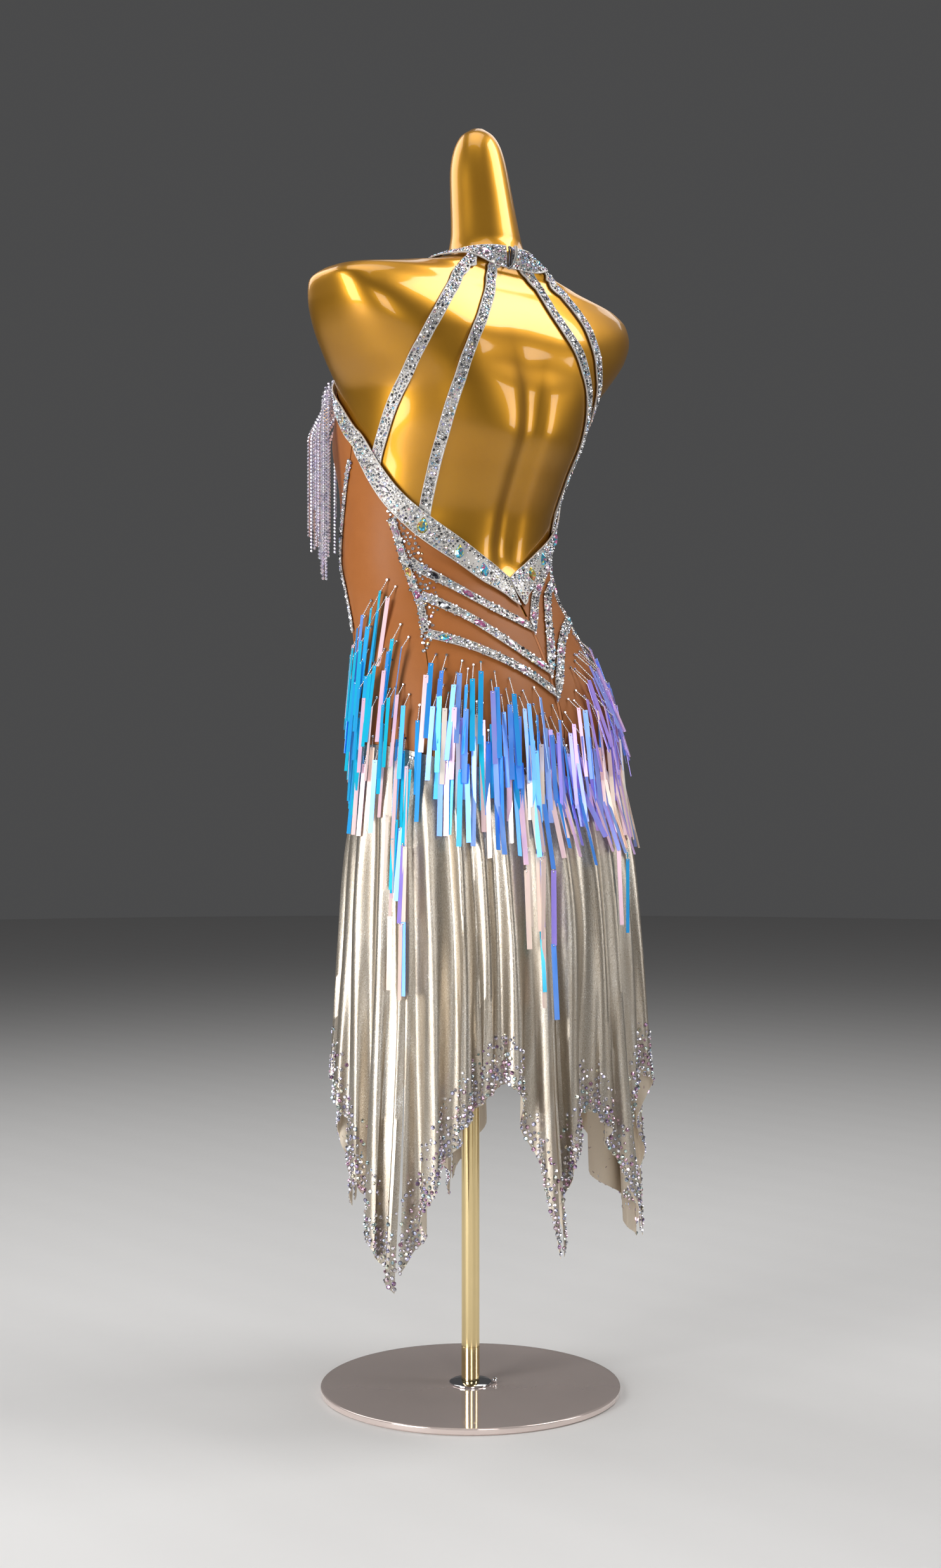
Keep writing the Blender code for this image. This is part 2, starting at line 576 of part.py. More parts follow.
def make_neckband(shop):
    """The band round the neck, and the clasp between its ends, a little left of the middle of the back."""
    for name, low, high, half_width, steps, material in (
        ("neckband", NECKBAND_END, 360 - NECKBAND_END, NECKBAND_HALF_WIDTH, 37, "crystal_trim"),
        ("neckband_clasp", -CLASP_END, CLASP_END, CLASP_HALF_WIDTH, 3, "chrome"),
    ):
        angles = CLASP_ANGLE + np.linspace(low, high, steps)
        behind = np.clip(np.sin(np.radians(angles)), 0, 1)
        heights = NECKBAND_SIDE_HEIGHT + (NECKBAND_BACK_HEIGHT - NECKBAND_SIDE_HEIGHT) * behind
        gaps = NECKBAND_SIDE_GAP + (NECKBAND_BACK_GAP - NECKBAND_SIDE_GAP) * ramp(behind, 0.3, 0.7)
        route = [LinePoint(z, a) for z, a in zip(heights, angles)]
        grid = strip(route, [(side * half_width,) * 2 for side in (-1, 0, 1)], gaps, steps)
        shop.add_cloth(name, grid, TRIM_THICKNESS, material)


def make_zip(shop):
    route = [LinePoint(z, BACK_MIDDLE) for z in np.linspace(ZIP_LOW, ZIP_HIGH, ZIP_STEPS)]
    grid = strip(route, level_sides(ZIP_HALF_WIDTH), CLOTH_GAP, ZIP_STEPS)
    shop.add_cloth("centre_back_zip", grid, MESH_THICKNESS, "tan_mesh")


# ---------------------------------------------------------------- skirt of silver lame
LAME_THICKNESS = 1.2 * MM
SKIRT_SEAM_GAP = 0.7 * MM
SkirtSection = namedtuple("SkirtSection", "z centre half_width front back fold flute")
SKIRT_SECTIONS = (
    SkirtSection(0.100, 0.040, 0.219, 0.196, 0.198, 0.0085, 0.016),
    SkirtSection(0.240, 0.038, 0.209, 0.185, 0.188, 0.0080, 0.013),
    SkirtSection(0.385, 0.036, 0.197, 0.171, 0.175, 0.0072, 0.008),
    SkirtSection(0.534, 0.034, 0.186, 0.158, 0.166, 0.0062, 0.003),
    SkirtSection(0.627, 0.031, 0.180, 0.146, 0.159, 0.0050, 0.001),
    SkirtSection(0.700, 0.027, 0.174, 0.122, 0.144, 0.0034, 0.0),
    SkirtSection(0.740, 0.024, 0.170, 0.110, 0.136, 0.0016, 0.0),
    SkirtSection(0.770, 0.022, 0.169, 0.107, 0.132, 0.0, 0.0),
)
SKIRT_SQUARE = 2.1
SKIRT_LEAVES_FORM = 0.760
SKIRT_LEFT_FORM = 0.690
SKIRT_ROWS = (0, 0.2, 0.4, 0.6, 0.77, 0.89, 1)
SAMPLES_PER_FOLD = 4
FOLD_PHASE = 45
MOST_FOLDS = 7
EVEN_FOLD = 0.8
UNEVEN_FOLD = 0.35
UNEVEN_TURN = 2.4
GORE_EDGE_FOLD = 0.3
GORE_HALF_ANGLE = 0.08
FLUTES_PER_TURN = 11
FLUTE_LEAN = 6.0
SLIT_LOW = 0.15
SLIT_TOP = 0.50
SLIT_OPENING = 0.6

SKIRT_CURVES = {
    name: smooth_curve([s.z for s in SKIRT_SECTIONS], [getattr(s, name) for s in SKIRT_SECTIONS])
    for name in SkirtSection._fields
}

# Each gore runs from one slit to the next. Its hem is given by the height of its edge at some angles.
HemPoint = namedtuple("HemPoint", "angle z")
Gore = namedtuple("Gore", "name folds hem")
GORES = (
    Gore("skirt_back", 3, (
        HemPoint(73, 0.203), HemPoint(77, 0.262), HemPoint(84, 0.335), HemPoint(90, 0.352),
        HemPoint(97, 0.325), HemPoint(103, 0.262), HemPoint(107, 0.214))),
    Gore("skirt_back_left", 5, (
        HemPoint(16, 0.182), HemPoint(23, 0.232), HemPoint(35, 0.315), HemPoint(48, 0.375),
        HemPoint(57, 0.392), HemPoint(65, 0.330), HemPoint(73, 0.201))),
    Gore("skirt_side_left", 7, (
        HemPoint(-67, 0.212), HemPoint(-58, 0.290), HemPoint(-46, 0.352), HemPoint(-34, 0.378),
        HemPoint(-20, 0.340), HemPoint(-4, 0.262), HemPoint(9, 0.192), HemPoint(16, 0.163))),
    Gore("skirt_front", 4, (
        HemPoint(-113, 0.203), HemPoint(-104, 0.280), HemPoint(-90, 0.350), HemPoint(-76, 0.285),
        HemPoint(-67, 0.218))),
    Gore("skirt_side_right", 7, (
        HemPoint(164, 0.169), HemPoint(171, 0.194), HemPoint(184, 0.262), HemPoint(200, 0.340),
        HemPoint(214, 0.378), HemPoint(226, 0.352), HemPoint(238, 0.280), HemPoint(247, 0.224))),
    Gore("skirt_back_right", 5, (
        HemPoint(107, 0.208), HemPoint(115, 0.320), HemPoint(124, 0.388), HemPoint(135, 0.378),
        HemPoint(146, 0.315), HemPoint(157, 0.236), HemPoint(164, 0.187))),
)


def skirt_point(angle, z, fold=0.0):
    """Points of the skirt's inner face. fold runs from -1 in a groove to 1 on a ridge."""
    size = {name: curve(z) for name, curve in SKIRT_CURVES.items()}
    turn = np.radians(angle)
    cosine, sine = np.cos(turn), np.sin(turn)
    reach = np.where(sine > 0, size["back"], size["front"])
    flute_phase = np.radians(FLUTES_PER_TURN * np.asarray(angle, float)) + FLUTE_LEAN * (z - SLIT_TOP)
    flute = size["flute"] * (np.cos(flute_phase) - 1) / 2
    out = size["fold"] * (fold - 1) + flute
    x = (size["half_width"] + out) * power(cosine, 2 / SKIRT_SQUARE)
    y = size["centre"] + (reach + out) * power(sine, 2 / SKIRT_SQUARE)
    hanging = np.stack(np.broadcast_arrays(x, y, z), axis=-1)
    on_form = surface_point(angle, np.maximum(z, SKIRT_LEFT_FORM - 0.01), CLOTH_GAP + size["fold"] * (fold + 1))
    free = (1 - ramp(z, SKIRT_LEFT_FORM, SKIRT_LEAVES_FORM))[..., None]
    return on_form * (1 - free) + hanging * free


def fold_shape(gore, index):
    """The fold's depth at a column, uneven from fold to fold."""
    phase = math.radians(FOLD_PHASE)
    wave = math.cos(phase + 2 * math.pi * index / SAMPLES_PER_FOLD) / math.cos(phase)
    number = index // SAMPLES_PER_FOLD + MOST_FOLDS * GORES.index(gore)
    return wave * (EVEN_FOLD + UNEVEN_FOLD * math.sin(UNEVEN_TURN * number))


def make_gore(shop, gore):
    columns = gore.folds * SAMPLES_PER_FOLD + 1
    low, high = gore.hem[0].angle, gore.hem[-1].angle
    hem = smooth_curve([p.angle for p in gore.hem], [p.z for p in gore.hem])
    angles = np.linspace(low, high, columns)
    folds = np.array([fold_shape(gore, i) for i in range(columns)])
    folds[[0, -1]] = GORE_EDGE_FOLD
    middle, reach = (low + high) / 2, (high - low) / 2
    grid = []
    for share in SKIRT_ROWS:
        z = hem(angles) + share * (hip_seam(angles) - SKIRT_SEAM_GAP - hem(angles))
        opening = GORE_HALF_ANGLE + SLIT_OPENING * (1 - ramp(z, SLIT_LOW, SLIT_TOP))
        grid.append(skirt_point(angles + (middle - angles) / reach * opening, z, folds))
    shop.add_cloth(gore.name, np.array(grid), LAME_THICKNESS, "silver_lame")


# ---------------------------------------------------------------- fringes
FRINGE_AXIS = np.array([0.0, 0.015])
STRIP_DEPTH = 1.6 * MM
STRIP_RISE = 2.6 * MM
ROOT_WIDTH = 2.0 * MM
END_MARGIN = 1.0
BEARING_ROOM = 1.1
STRAND_CLEARANCE = 0.7 * MM
CLEAR_BELOW = 0.020
FRINGE_ROWS = 4
FRINGE_LAST_ROW = 0.010
PAILLETTE_LENGTH = 0.082
PAILLETTE_WIDTH = 5.6 * MM
PAILLETTE_DEPTH = 1.0 * MM
THREAD_LENGTH = 0.014
LONG_DROP = 0.150
LONG_DROP_REACH = 5.5
SLIT_ANGLES = (16, 73, 107, 164, 247, 293)

FringeArc = namedtuple("FringeArc", "name gap strands roots")
FRINGE_ARCS = (
    FringeArc("back", 3.3 * MM, 13, (
        HemPoint(32.0, 0.862), HemPoint(45, 0.857), HemPoint(60, 0.841), HemPoint(70, 0.828),
        HemPoint(80, 0.814), HemPoint(90, 0.801), HemPoint(98, 0.825), HemPoint(103, 0.842),
        HemPoint(113, 0.862), HemPoint(120, 0.876), HemPoint(132, 0.894), HemPoint(143, 0.902))),
    FringeArc("front", 3.9 * MM, 20, (
        HemPoint(152.5, 0.952), HemPoint(159, 0.945), HemPoint(166, 0.928), HemPoint(175, 0.922),
        HemPoint(190, 0.887), HemPoint(205, 0.872), HemPoint(235, 0.862), HemPoint(270, 0.850),
        HemPoint(305, 0.862), HemPoint(335, 0.872), HemPoint(350, 0.887), HemPoint(365, 0.922),
        HemPoint(374, 0.928), HemPoint(381, 0.945), HemPoint(387.5, 0.952))),
)

BUST_ROUTE = (
    HemPoint(209.5, 1.160), HemPoint(225, 1.181), HemPoint(240, 1.196), HemPoint(255, 1.190),
    HemPoint(270, 1.175), HemPoint(285, 1.190), HemPoint(300, 1.196), HemPoint(315, 1.181),
    HemPoint(330.5, 1.160),
)
BUST_GAP = 6.6 * MM
BUST_STRANDS = 24
BUST_STRAND_WIDTH = 3.0 * MM
BUST_STRAND_LENGTHS = (0.160, 0.120, 0.145, 0.105)
BUST_BEND = 0.048


class Envelope:
    """How far the outermost layer reaches from the fringe axis, by bearing and height."""

    BEARINGS = np.arange(0, 361, 1.0)
    HEIGHTS = np.arange(0.440, 1.200, 0.005)

    def __init__(self):
        angles = np.arange(0, 720, 1.5)
        self.reach = np.zeros((len(self.HEIGHTS), len(self.BEARINGS)))
        for row, z in enumerate(self.HEIGHTS):
            seams = hip_seam(angles)
            on_bodice = surface_point(angles, np.maximum(z, 0.70), TRIM_GAP - STRAND_CLEARANCE)
            skirt_z = np.minimum(z, seams)
            on_skirt = skirt_point(angles, skirt_z, 1.15)
            bodice_reach = np.linalg.norm(on_bodice[:, :2] - FRINGE_AXIS, axis=1)
            skirt_reach = np.linalg.norm(on_skirt[:, :2] - FRINGE_AXIS, axis=1) + LAME_THICKNESS + SEAM_GAP
            place = np.where(np.repeat((z < seams)[:, None], 2, axis=1), on_skirt[:, :2], on_bodice[:, :2])
            reach = np.where(z < seams, skirt_reach, bodice_reach)
            bearing = np.degrees(np.arctan2(place[:, 1] - FRINGE_AXIS[1], place[:, 0] - FRINGE_AXIS[0])) % 360
            order = np.argsort(bearing)
            self.reach[row] = np.interp(self.BEARINGS, bearing[order], reach[order], period=360)

    def columns(self, bearing, half_width, reach):
        """The columns that a strand of this half width covers."""
        spread = math.degrees(half_width / reach) + BEARING_ROOM
        away = np.abs((self.BEARINGS - bearing + 180) % 360 - 180)
        return away <= spread

    def slope(self, bearing, half_width, start, height, end):
        """The least outward slope of a straight strand from start to the height end, clear of all below it."""
        covered = self.columns(bearing, half_width, start)
        rows = (self.HEIGHTS < height - 0.004) & (self.HEIGHTS > end - CLEAR_BELOW)
        drop = np.minimum(height - self.HEIGHTS[rows], height - end)[:, None]
        need = (self.reach[rows][:, covered] + STRAND_CLEARANCE - start) / drop
        return max(0.0, float(need.max()))

    def cover(self, bearing, half_width, high, low):
        """Adds a strand, given by reach and height at both its ends."""
        covered = self.columns(bearing, half_width, low[0])
        rows = (self.HEIGHTS < high[1] + 0.003) & (self.HEIGHTS > low[1] - 0.003)
        reach = np.interp(self.HEIGHTS[rows], [low[1], high[1]], [low[0], high[0]]) + PAILLETTE_DEPTH
        block = np.ix_(rows, covered)
        self.reach[block] = np.maximum(self.reach[block], reach[:, None])


def bearing_of(point):
    return math.degrees(math.atan2(point[1] - FRINGE_AXIS[1], point[0] - FRINGE_AXIS[0]))


def strand_ring(bearing, reach, width, depth, z):
    """The four corners of a strand's section: two inner ones, then two outer ones."""
    turn = math.radians(bearing)
    out = np.array([math.cos(turn), math.sin(turn)])
    along = np.array([-out[1], out[0]])
    corners = ((reach, -0.5), (reach, 0.5), (reach + depth, 0.5), (reach + depth, -0.5))
    return [(*(FRINGE_AXIS + out * r + along * width * side), z) for r, side in corners]


def strand_angles(route, count, shift):
    """Even places along a route, moved by a share of the step between them."""
    low, high = route[0].angle + END_MARGIN, route[-1].angle - END_MARGIN
    step = (high - low) / count
    return low + step * (np.arange(count) + 0.5 + shift)


def make_fringe(shop, name, route, gap, angles, strands, width, envelope, material):
    """A narrow backing strip on the bodice, with strands that hang from its lower face.

    strands holds, for each strand, the lengths of its straight stretches from the root down.
    """
    height_at = smooth_curve([p.angle for p in route], [p.z for p in route])
    around = np.linalg.norm(surface_slopes(angles, height_at(angles))[0], axis=-1)
    half = ROOT_WIDTH / 2 / around
    stations = np.stack([angles - half, angles + half], axis=1).ravel()
    heights = height_at(stations)
    inner = surface_point(stations, heights, gap)
    outer = surface_point(stations, heights, gap + STRIP_DEPTH)
    crest = surface_point(stations, heights + STRIP_RISE, gap + STRIP_DEPTH / 2)

    shape = bmesh.new()
    low = [shape.verts.new(p) for p in inner]
    front = [shape.verts.new(p) for p in outer]
    top = [shape.verts.new(p) for p in crest]
    for i in range(len(stations) - 1):
        shape.faces.new((low[i], top[i], top[i + 1], low[i + 1]))
        shape.faces.new((front[i], front[i + 1], top[i + 1], top[i]))
        if i % 2:
            shape.faces.new((low[i], low[i + 1], front[i + 1], front[i]))
    shape.faces.new((low[0], front[0], top[0]))
    shape.faces.new((low[-1], top[-1], front[-1]))

    for strand, stretches in enumerate(strands):
        i = 2 * strand
        root = (inner[i] + inner[i + 1]) / 2
        bearing = bearing_of(root)
        reach, z = float(np.linalg.norm(root[:2] - FRINGE_AXIS)), root[2]
        rings = [[low[i], low[i + 1], front[i + 1], front[i]]]
        for stretch in stretches:
            end = reach + envelope.slope(bearing, width / 2, reach, z, z - stretch) * stretch
            if len(rings) > 1:
                envelope.cover(bearing, width / 2, (reach, z), (end, z - stretch))
            reach, z = end, z - stretch
            corners = strand_ring(bearing, reach, width, PAILLETTE_DEPTH, z)
            rings.append([shape.verts.new(p) for p in corners])
        for high, below in zip(rings, rings[1:]):
            for j in range(4):
                k = (j + 1) % 4
                shape.faces.new((high[j], high[k], below[k], below[j]))
        shape.faces.new(rings[-1])
    bmesh.ops.recalc_face_normals(shape, faces=shape.faces)
    bmesh.ops.triangulate(shape, faces=shape.faces)
    shop.add_shape(name, shape, material)


def make_hip_fringe(shop, envelope):
    """Four rows on each arc. The lowest row is hung first, and the rows above it hang over it."""
    for row in reversed(range(FRINGE_ROWS)):
        share = row / (FRINGE_ROWS - 1)
        for arc in FRINGE_ARCS:
            route = []
            for p in arc.roots:
                last = float(hip_seam(p.angle)) + FRINGE_LAST_ROW
                route.append(HemPoint(p.angle, p.z + (last - p.z) * share))
            angles = strand_angles(route, arc.strands, (row - 1.5) / FRINGE_ROWS)
            strands = []
            for angle in angles:
                near_slit = min(abs((angle - s + 180) % 360 - 180) for s in SLIT_ANGLES) < LONG_DROP_REACH
                long_drop = near_slit and row == FRINGE_ROWS - 1
                drop = (LONG_DROP,) if long_drop else ()
                strands.append((THREAD_LENGTH, PAILLETTE_LENGTH, *drop))
            name = f"hip_fringe_{arc.name}_{row + 1}"
            make_fringe(shop, name, route, arc.gap, angles, strands, PAILLETTE_WIDTH, envelope,
                        "iridescent_strip")


def make_bust_fringe(shop, envelope):
    strands = [(BUST_BEND, BUST_STRAND_LENGTHS[i % len(BUST_STRAND_LENGTHS)]) for i in range(BUST_STRANDS)]
    angles = strand_angles(BUST_ROUTE, BUST_STRANDS, 0)
    make_fringe(shop, "bust_fringe", BUST_ROUTE, BUST_GAP, angles, strands, BUST_STRAND_WIDTH, envelope,
                "crystal_chain")


clear_scene()
SHOP = Workshop()
make_stand(SHOP)
make_form(SHOP)
make_bodice(SHOP)
make_trim(SHOP)
make_neckband(SHOP)
make_zip(SHOP)
for gore in GORES:
    make_gore(SHOP, gore)
ENVELOPE = Envelope()
make_hip_fringe(SHOP, ENVELOPE)
make_bust_fringe(SHOP, ENVELOPE)
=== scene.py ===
"""A Latin dance dress on a limbless dress form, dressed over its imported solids.

Everything is in metres with +Z up. The form faces -Y, its left side is at +X and its pole is on the
Z axis. Angles go round the body in degrees: 0 is its left side, 90 the back, 180 the right side and
270 the front. Every cloth piece lies on the body's or the skirt's shape, which the classes BodyShape
and SkirtShape work out from short tables.
"""

from __future__ import annotations

import logging
import math
from dataclasses import dataclass, field
from enum import Enum
from typing import Callable, Iterable, NamedTuple, Sequence

import bpy
import numpy as np
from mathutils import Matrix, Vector

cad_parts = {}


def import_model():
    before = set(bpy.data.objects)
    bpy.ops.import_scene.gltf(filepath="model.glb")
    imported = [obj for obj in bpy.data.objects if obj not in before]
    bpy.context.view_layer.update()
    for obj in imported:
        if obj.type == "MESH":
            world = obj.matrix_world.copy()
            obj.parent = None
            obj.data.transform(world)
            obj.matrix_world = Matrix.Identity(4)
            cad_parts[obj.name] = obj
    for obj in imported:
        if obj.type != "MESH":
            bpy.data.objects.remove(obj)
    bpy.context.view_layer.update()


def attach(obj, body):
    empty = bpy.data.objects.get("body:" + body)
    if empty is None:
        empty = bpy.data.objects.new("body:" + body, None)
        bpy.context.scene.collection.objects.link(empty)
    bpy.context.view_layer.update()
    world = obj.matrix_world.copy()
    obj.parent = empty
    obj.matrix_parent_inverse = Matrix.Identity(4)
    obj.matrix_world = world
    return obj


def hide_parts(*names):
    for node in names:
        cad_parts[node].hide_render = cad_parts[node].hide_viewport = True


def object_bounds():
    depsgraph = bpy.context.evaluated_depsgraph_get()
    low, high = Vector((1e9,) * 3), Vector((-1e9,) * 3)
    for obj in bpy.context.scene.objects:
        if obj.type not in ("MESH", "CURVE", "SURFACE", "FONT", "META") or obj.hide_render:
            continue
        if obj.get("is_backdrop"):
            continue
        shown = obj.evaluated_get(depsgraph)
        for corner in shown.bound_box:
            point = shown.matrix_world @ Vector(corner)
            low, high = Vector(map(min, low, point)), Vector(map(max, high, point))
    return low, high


LOG = logging.getLogger("dance_dress")
MM = 0.001
BODY = "root"
Array = np.ndarray


# ---------------------------------------------------------------- curves
def smooth_curve(knots: Iterable[float], values: Iterable[float]) -> Callable[[Array], Array]:
    """Makes a monotone cubic through points.

    Args:
        knots: where the points lie, rising.
        values: the value at each point.

    Returns:
        A function of a number or an array, flat beyond both ends.
    """
    knots = np.asarray(list(knots), float)
    values = np.asarray(list(values), float)
    steps = np.diff(knots)
    slopes = np.diff(values) / steps
    tangents = np.zeros_like(values)
    tangents[0], tangents[-1] = slopes[0], slopes[-1]
    for i in range(1, len(slopes)):
        before, after = slopes[i - 1], slopes[i]
        if before * after > 0:
            near = 2 * steps[i] + steps[i - 1]
            far = steps[i] + 2 * steps[i - 1]
            tangents[i] = (near + far) / (near / before + far / after)

    def curve(at: Array) -> Array:
        at = np.clip(at, knots[0], knots[-1])
        i = np.clip(np.searchsorted(knots, at, side="right") - 1, 0, len(steps) - 1)
        t = (at - knots[i]) / steps[i]
        start = (1 + 2 * t) * (1 - t) ** 2 * values[i] + t * (1 - t) ** 2 * steps[i] * tangents[i]
        end = t**2 * (3 - 2 * t) * values[i + 1] + t**2 * (t - 1) * steps[i] * tangents[i + 1]
        return start + end

    return curve


def hump(value: Array, middle: float, spread: float) -> Array:
    """A bell curve of height 1."""
    return np.exp(-(((value - middle) / spread) ** 2))


def ramp(value: Array, low: float, high: float) -> Array:
    """0 below low, 1 above high, smooth between."""
    t = np.clip((value - low) / (high - low), 0, 1)
    return t * t * (3 - 2 * t)


def power(base: Array, exponent: Array) -> Array:
    """A signed power, which squares off a cosine or sine."""
    return np.sign(base) * np.abs(base) ** exponent


def unit(vectors: Array) -> Array:
    """Vectors of length 1 that point the same way."""
    return vectors / np.maximum(np.linalg.norm(vectors, axis=-1, keepdims=True), 1e-12)


def blend(low: Array, high: Array, share: Array) -> Array:
    """A value between low and high, at a share of the way."""
    return low + (high - low) * share


def table_of(kind: type, rows: Sequence[tuple]) -> tuple:
    """A table with named columns: one named tuple of this kind for each row."""
    return tuple(kind(*row) for row in rows)


# ---------------------------------------------------------------- the body's shape
class Section(NamedTuple):
    """One level section of the form. square is 2 for an ellipse and 3 for nearly a rounded box."""

    z: float
    rise: float
    centre: float
    half_width: float
    front: float
    back: float
    square: float


FORM_SECTIONS = table_of(Section, (
    (0.66, 0, 0.016, 0.148, 0.084, 0.104, 2.2),
    (0.705, 0, 0.02, 0.16, 0.094, 0.118, 2.2),
    (0.77, 0, 0.022, 0.165, 0.103, 0.128, 2.2),
    (0.826, 0, 0.013, 0.157, 0.108, 0.124, 2.15),
    (0.88, 0, -0.004, 0.146, 0.106, 0.116, 2.1),
    (0.917, 0, -0.02, 0.138, 0.103, 0.11, 2.1),
    (0.951, 0, -0.034, 0.135, 0.1, 0.102, 2.1),
    (0.986, 0, -0.043, 0.136, 0.099, 0.102, 2.1),
    (1.03, 0, -0.04, 0.138, 0.099, 0.106, 2.1),
    (1.084, 0, -0.03, 0.145, 0.1, 0.117, 2.15),
    (1.128, 0, -0.02, 0.153, 0.1, 0.126, 2.3),
    (1.17, 0, -0.012, 0.162, 0.094, 0.12, 2.6),
    (1.205, 0, -0.006, 0.192, 0.082, 0.108, 2.9),
    (1.235, 0.004, 0, 0.217, 0.074, 0.1, 3.2),
    (1.262, 0.004, 0.004, 0.228, 0.07, 0.088, 3.4),
    (1.284, 0.001, 0.006, 0.231, 0.068, 0.076, 3.2),
    (1.301, -0.003, 0.01, 0.219, 0.058, 0.064, 2.9),
    (1.316, -0.006, 0.016, 0.160, 0.048, 0.055, 2.4),
    (1.329, -0.004, 0.022, 0.086, 0.041, 0.053, 2.1),
    (1.341, 0, 0.026, 0.0505, 0.0385, 0.048, 2),
    (1.358, 0, 0.026, 0.0448, 0.0375, 0.04, 2),
    (1.38, 0, 0.0235, 0.0415, 0.0365, 0.038, 2),
    (1.41, 0, 0.019, 0.0385, 0.035, 0.036, 2),
    (1.445, 0, 0.0145, 0.035, 0.033, 0.0325, 2),
    (1.47, 0, 0.0125, 0.029, 0.0275, 0.0275, 2),
    (1.486, 0, 0.012, 0.02, 0.019, 0.019, 2),
    (1.494, 0, 0.012, 0.0085, 0.0085, 0.0085, 2),
))
FORM_LOW = FORM_SECTIONS[0].z
RISE_SHARPNESS = 2.0
HIP_SEAM_SIDE = 0.765
HIP_SEAM_DIP = 0.036
HIP_FADE_TOP = 0.870


def hip_seam(angle: Array) -> Array:
    """The height of the seam between bodice and skirt, which dips at the back."""
    return HIP_SEAM_SIDE - HIP_SEAM_DIP * np.clip(np.sin(np.radians(angle)), 0, 1) ** 1.5


class BodyShape:
    """The surface of the form, and points at a distance outside it."""

    ANGLE_STEP = 1.5
    HEIGHT_STEP = 0.002

    def __init__(self) -> None:
        """Makes the curves through the sections."""
        rows = range(len(FORM_SECTIONS))
        self.curves = {
            name: smooth_curve(rows, [getattr(s, name) for s in FORM_SECTIONS]) for name in Section._fields
        }
        self.level_at_height = smooth_curve([s.z for s in FORM_SECTIONS], rows)

    def relief(self, x: Array, z: Array, sine: Array) -> Array:
        """How far the bust, seat, shoulder blades and spine push the plain section along Y."""
        towards_back = np.clip(sine, 0, 1) ** 0.6
        towards_front = np.clip(-sine, 0, 1) ** 0.6
        bust = 0.045 * hump(np.abs(x), 0.073, 0.056) * hump(z, 1.128, 0.056)
        belly = 0.006 * hump(x, 0, 0.07) * hump(z, 0.89, 0.06)
        seat = 0.012 * hump(np.abs(x), 0.070, 0.050) * hump(z, 0.790, 0.065)
        blades = 0.004 * hump(np.abs(x), 0.085, 0.045) * hump(z, 1.215, 0.060)
        spine = 0.008 * hump(x, 0, 0.017) * ramp(z, 0.93, 1.0) * (1 - ramp(z, 1.15, 1.27))
        return towards_back * (seat + blades - spine) - towards_front * (bust + belly)

    def point(self, angle: Array, level: Array) -> Array:
        """Points of the surface at an angle and a level counted in table rows."""
        turn = np.radians(angle)
        cosine, sine = np.cos(turn), np.sin(turn)
        size = {name: curve(level) for name, curve in self.curves.items()}
        reach = np.where(sine > 0, size["back"], size["front"])
        x = size["half_width"] * power(cosine, 2 / size["square"])
        z = size["z"] + size["rise"] * np.abs(cosine) ** RISE_SHARPNESS
        y = size["centre"] + reach * power(sine, 2 / size["square"]) + self.relief(x, z, sine)
        return np.stack([x, y, z], axis=-1)

    def level_at(self, angle: Array, z: Array) -> Array:
        """The level whose surface lies at height z at this angle."""
        side = np.abs(np.cos(np.radians(angle))) ** RISE_SHARPNESS
        level = self.level_at_height(z)
        for _ in range(3):
            level = self.level_at_height(z - self.curves["rise"](level) * side)
        return level

    def slopes(self, angle: Array, z: Array) -> tuple[Array, Array]:
        """How a surface point moves for each degree and for each metre of height."""
        level, higher, lower = (self.level_at(angle, z + d) for d in (0, self.HEIGHT_STEP, -self.HEIGHT_STEP))
        around = self.point(angle + self.ANGLE_STEP, level) - self.point(angle - self.ANGLE_STEP, level)
        upward = self.point(angle, higher) - self.point(angle, lower)
        return around / (2 * self.ANGLE_STEP), upward / (2 * self.HEIGHT_STEP)

    def surface(self, angle: Array, z: Array, offset: Array = 0.0) -> Array:
        """Points that lie a distance outside the form, at an angle and a height."""
        angle, z, offset = np.broadcast_arrays(*(np.asarray(v, float) for v in (angle, z, offset)))
        around, upward = self.slopes(angle, z)
        return self.point(angle, self.level_at(angle, z)) + unit(np.cross(around, upward)) * offset[..., None]

    def ring_heights(self, angle: Array, z: Array) -> Array:
        """A ring's heights: it rises with the shoulders and dips with the hip seam."""
        side = np.abs(np.cos(np.radians(angle))) ** RISE_SHARPNESS
        rise = self.curves["rise"](self.level_at_height(z)) * side
        near_seam = np.interp(z, (FORM_LOW, HIP_SEAM_SIDE, HIP_FADE_TOP), (0, 1, 0))
        return z + rise + near_seam * (hip_seam(angle) - HIP_SEAM_SIDE)


SHAPE = BodyShape()


# ---------------------------------------------------------------- the skirt's shape
class SkirtSection(NamedTuple):
    """One level section of the skirt, with the depths of its folds and of its wide flutes."""

    z: float
    centre: float
    half_width: float
    front: float
    back: float
    fold: float
    flute: float


SKIRT_SECTIONS = table_of(SkirtSection, (
    (0.100, 0.040, 0.219, 0.196, 0.198, 0.0085, 0.016),
    (0.240, 0.038, 0.209, 0.185, 0.188, 0.0080, 0.013),
    (0.385, 0.036, 0.197, 0.171, 0.175, 0.0072, 0.008),
    (0.534, 0.034, 0.186, 0.158, 0.166, 0.0062, 0.003),
    (0.627, 0.031, 0.180, 0.146, 0.159, 0.0050, 0.001),
    (0.700, 0.027, 0.174, 0.122, 0.144, 0.0034, 0.0),
    (0.740, 0.024, 0.170, 0.110, 0.136, 0.0016, 0.0),
    (0.770, 0.022, 0.169, 0.107, 0.132, 0.0, 0.0),
))
CLOTH_GAP = 1.2 * MM


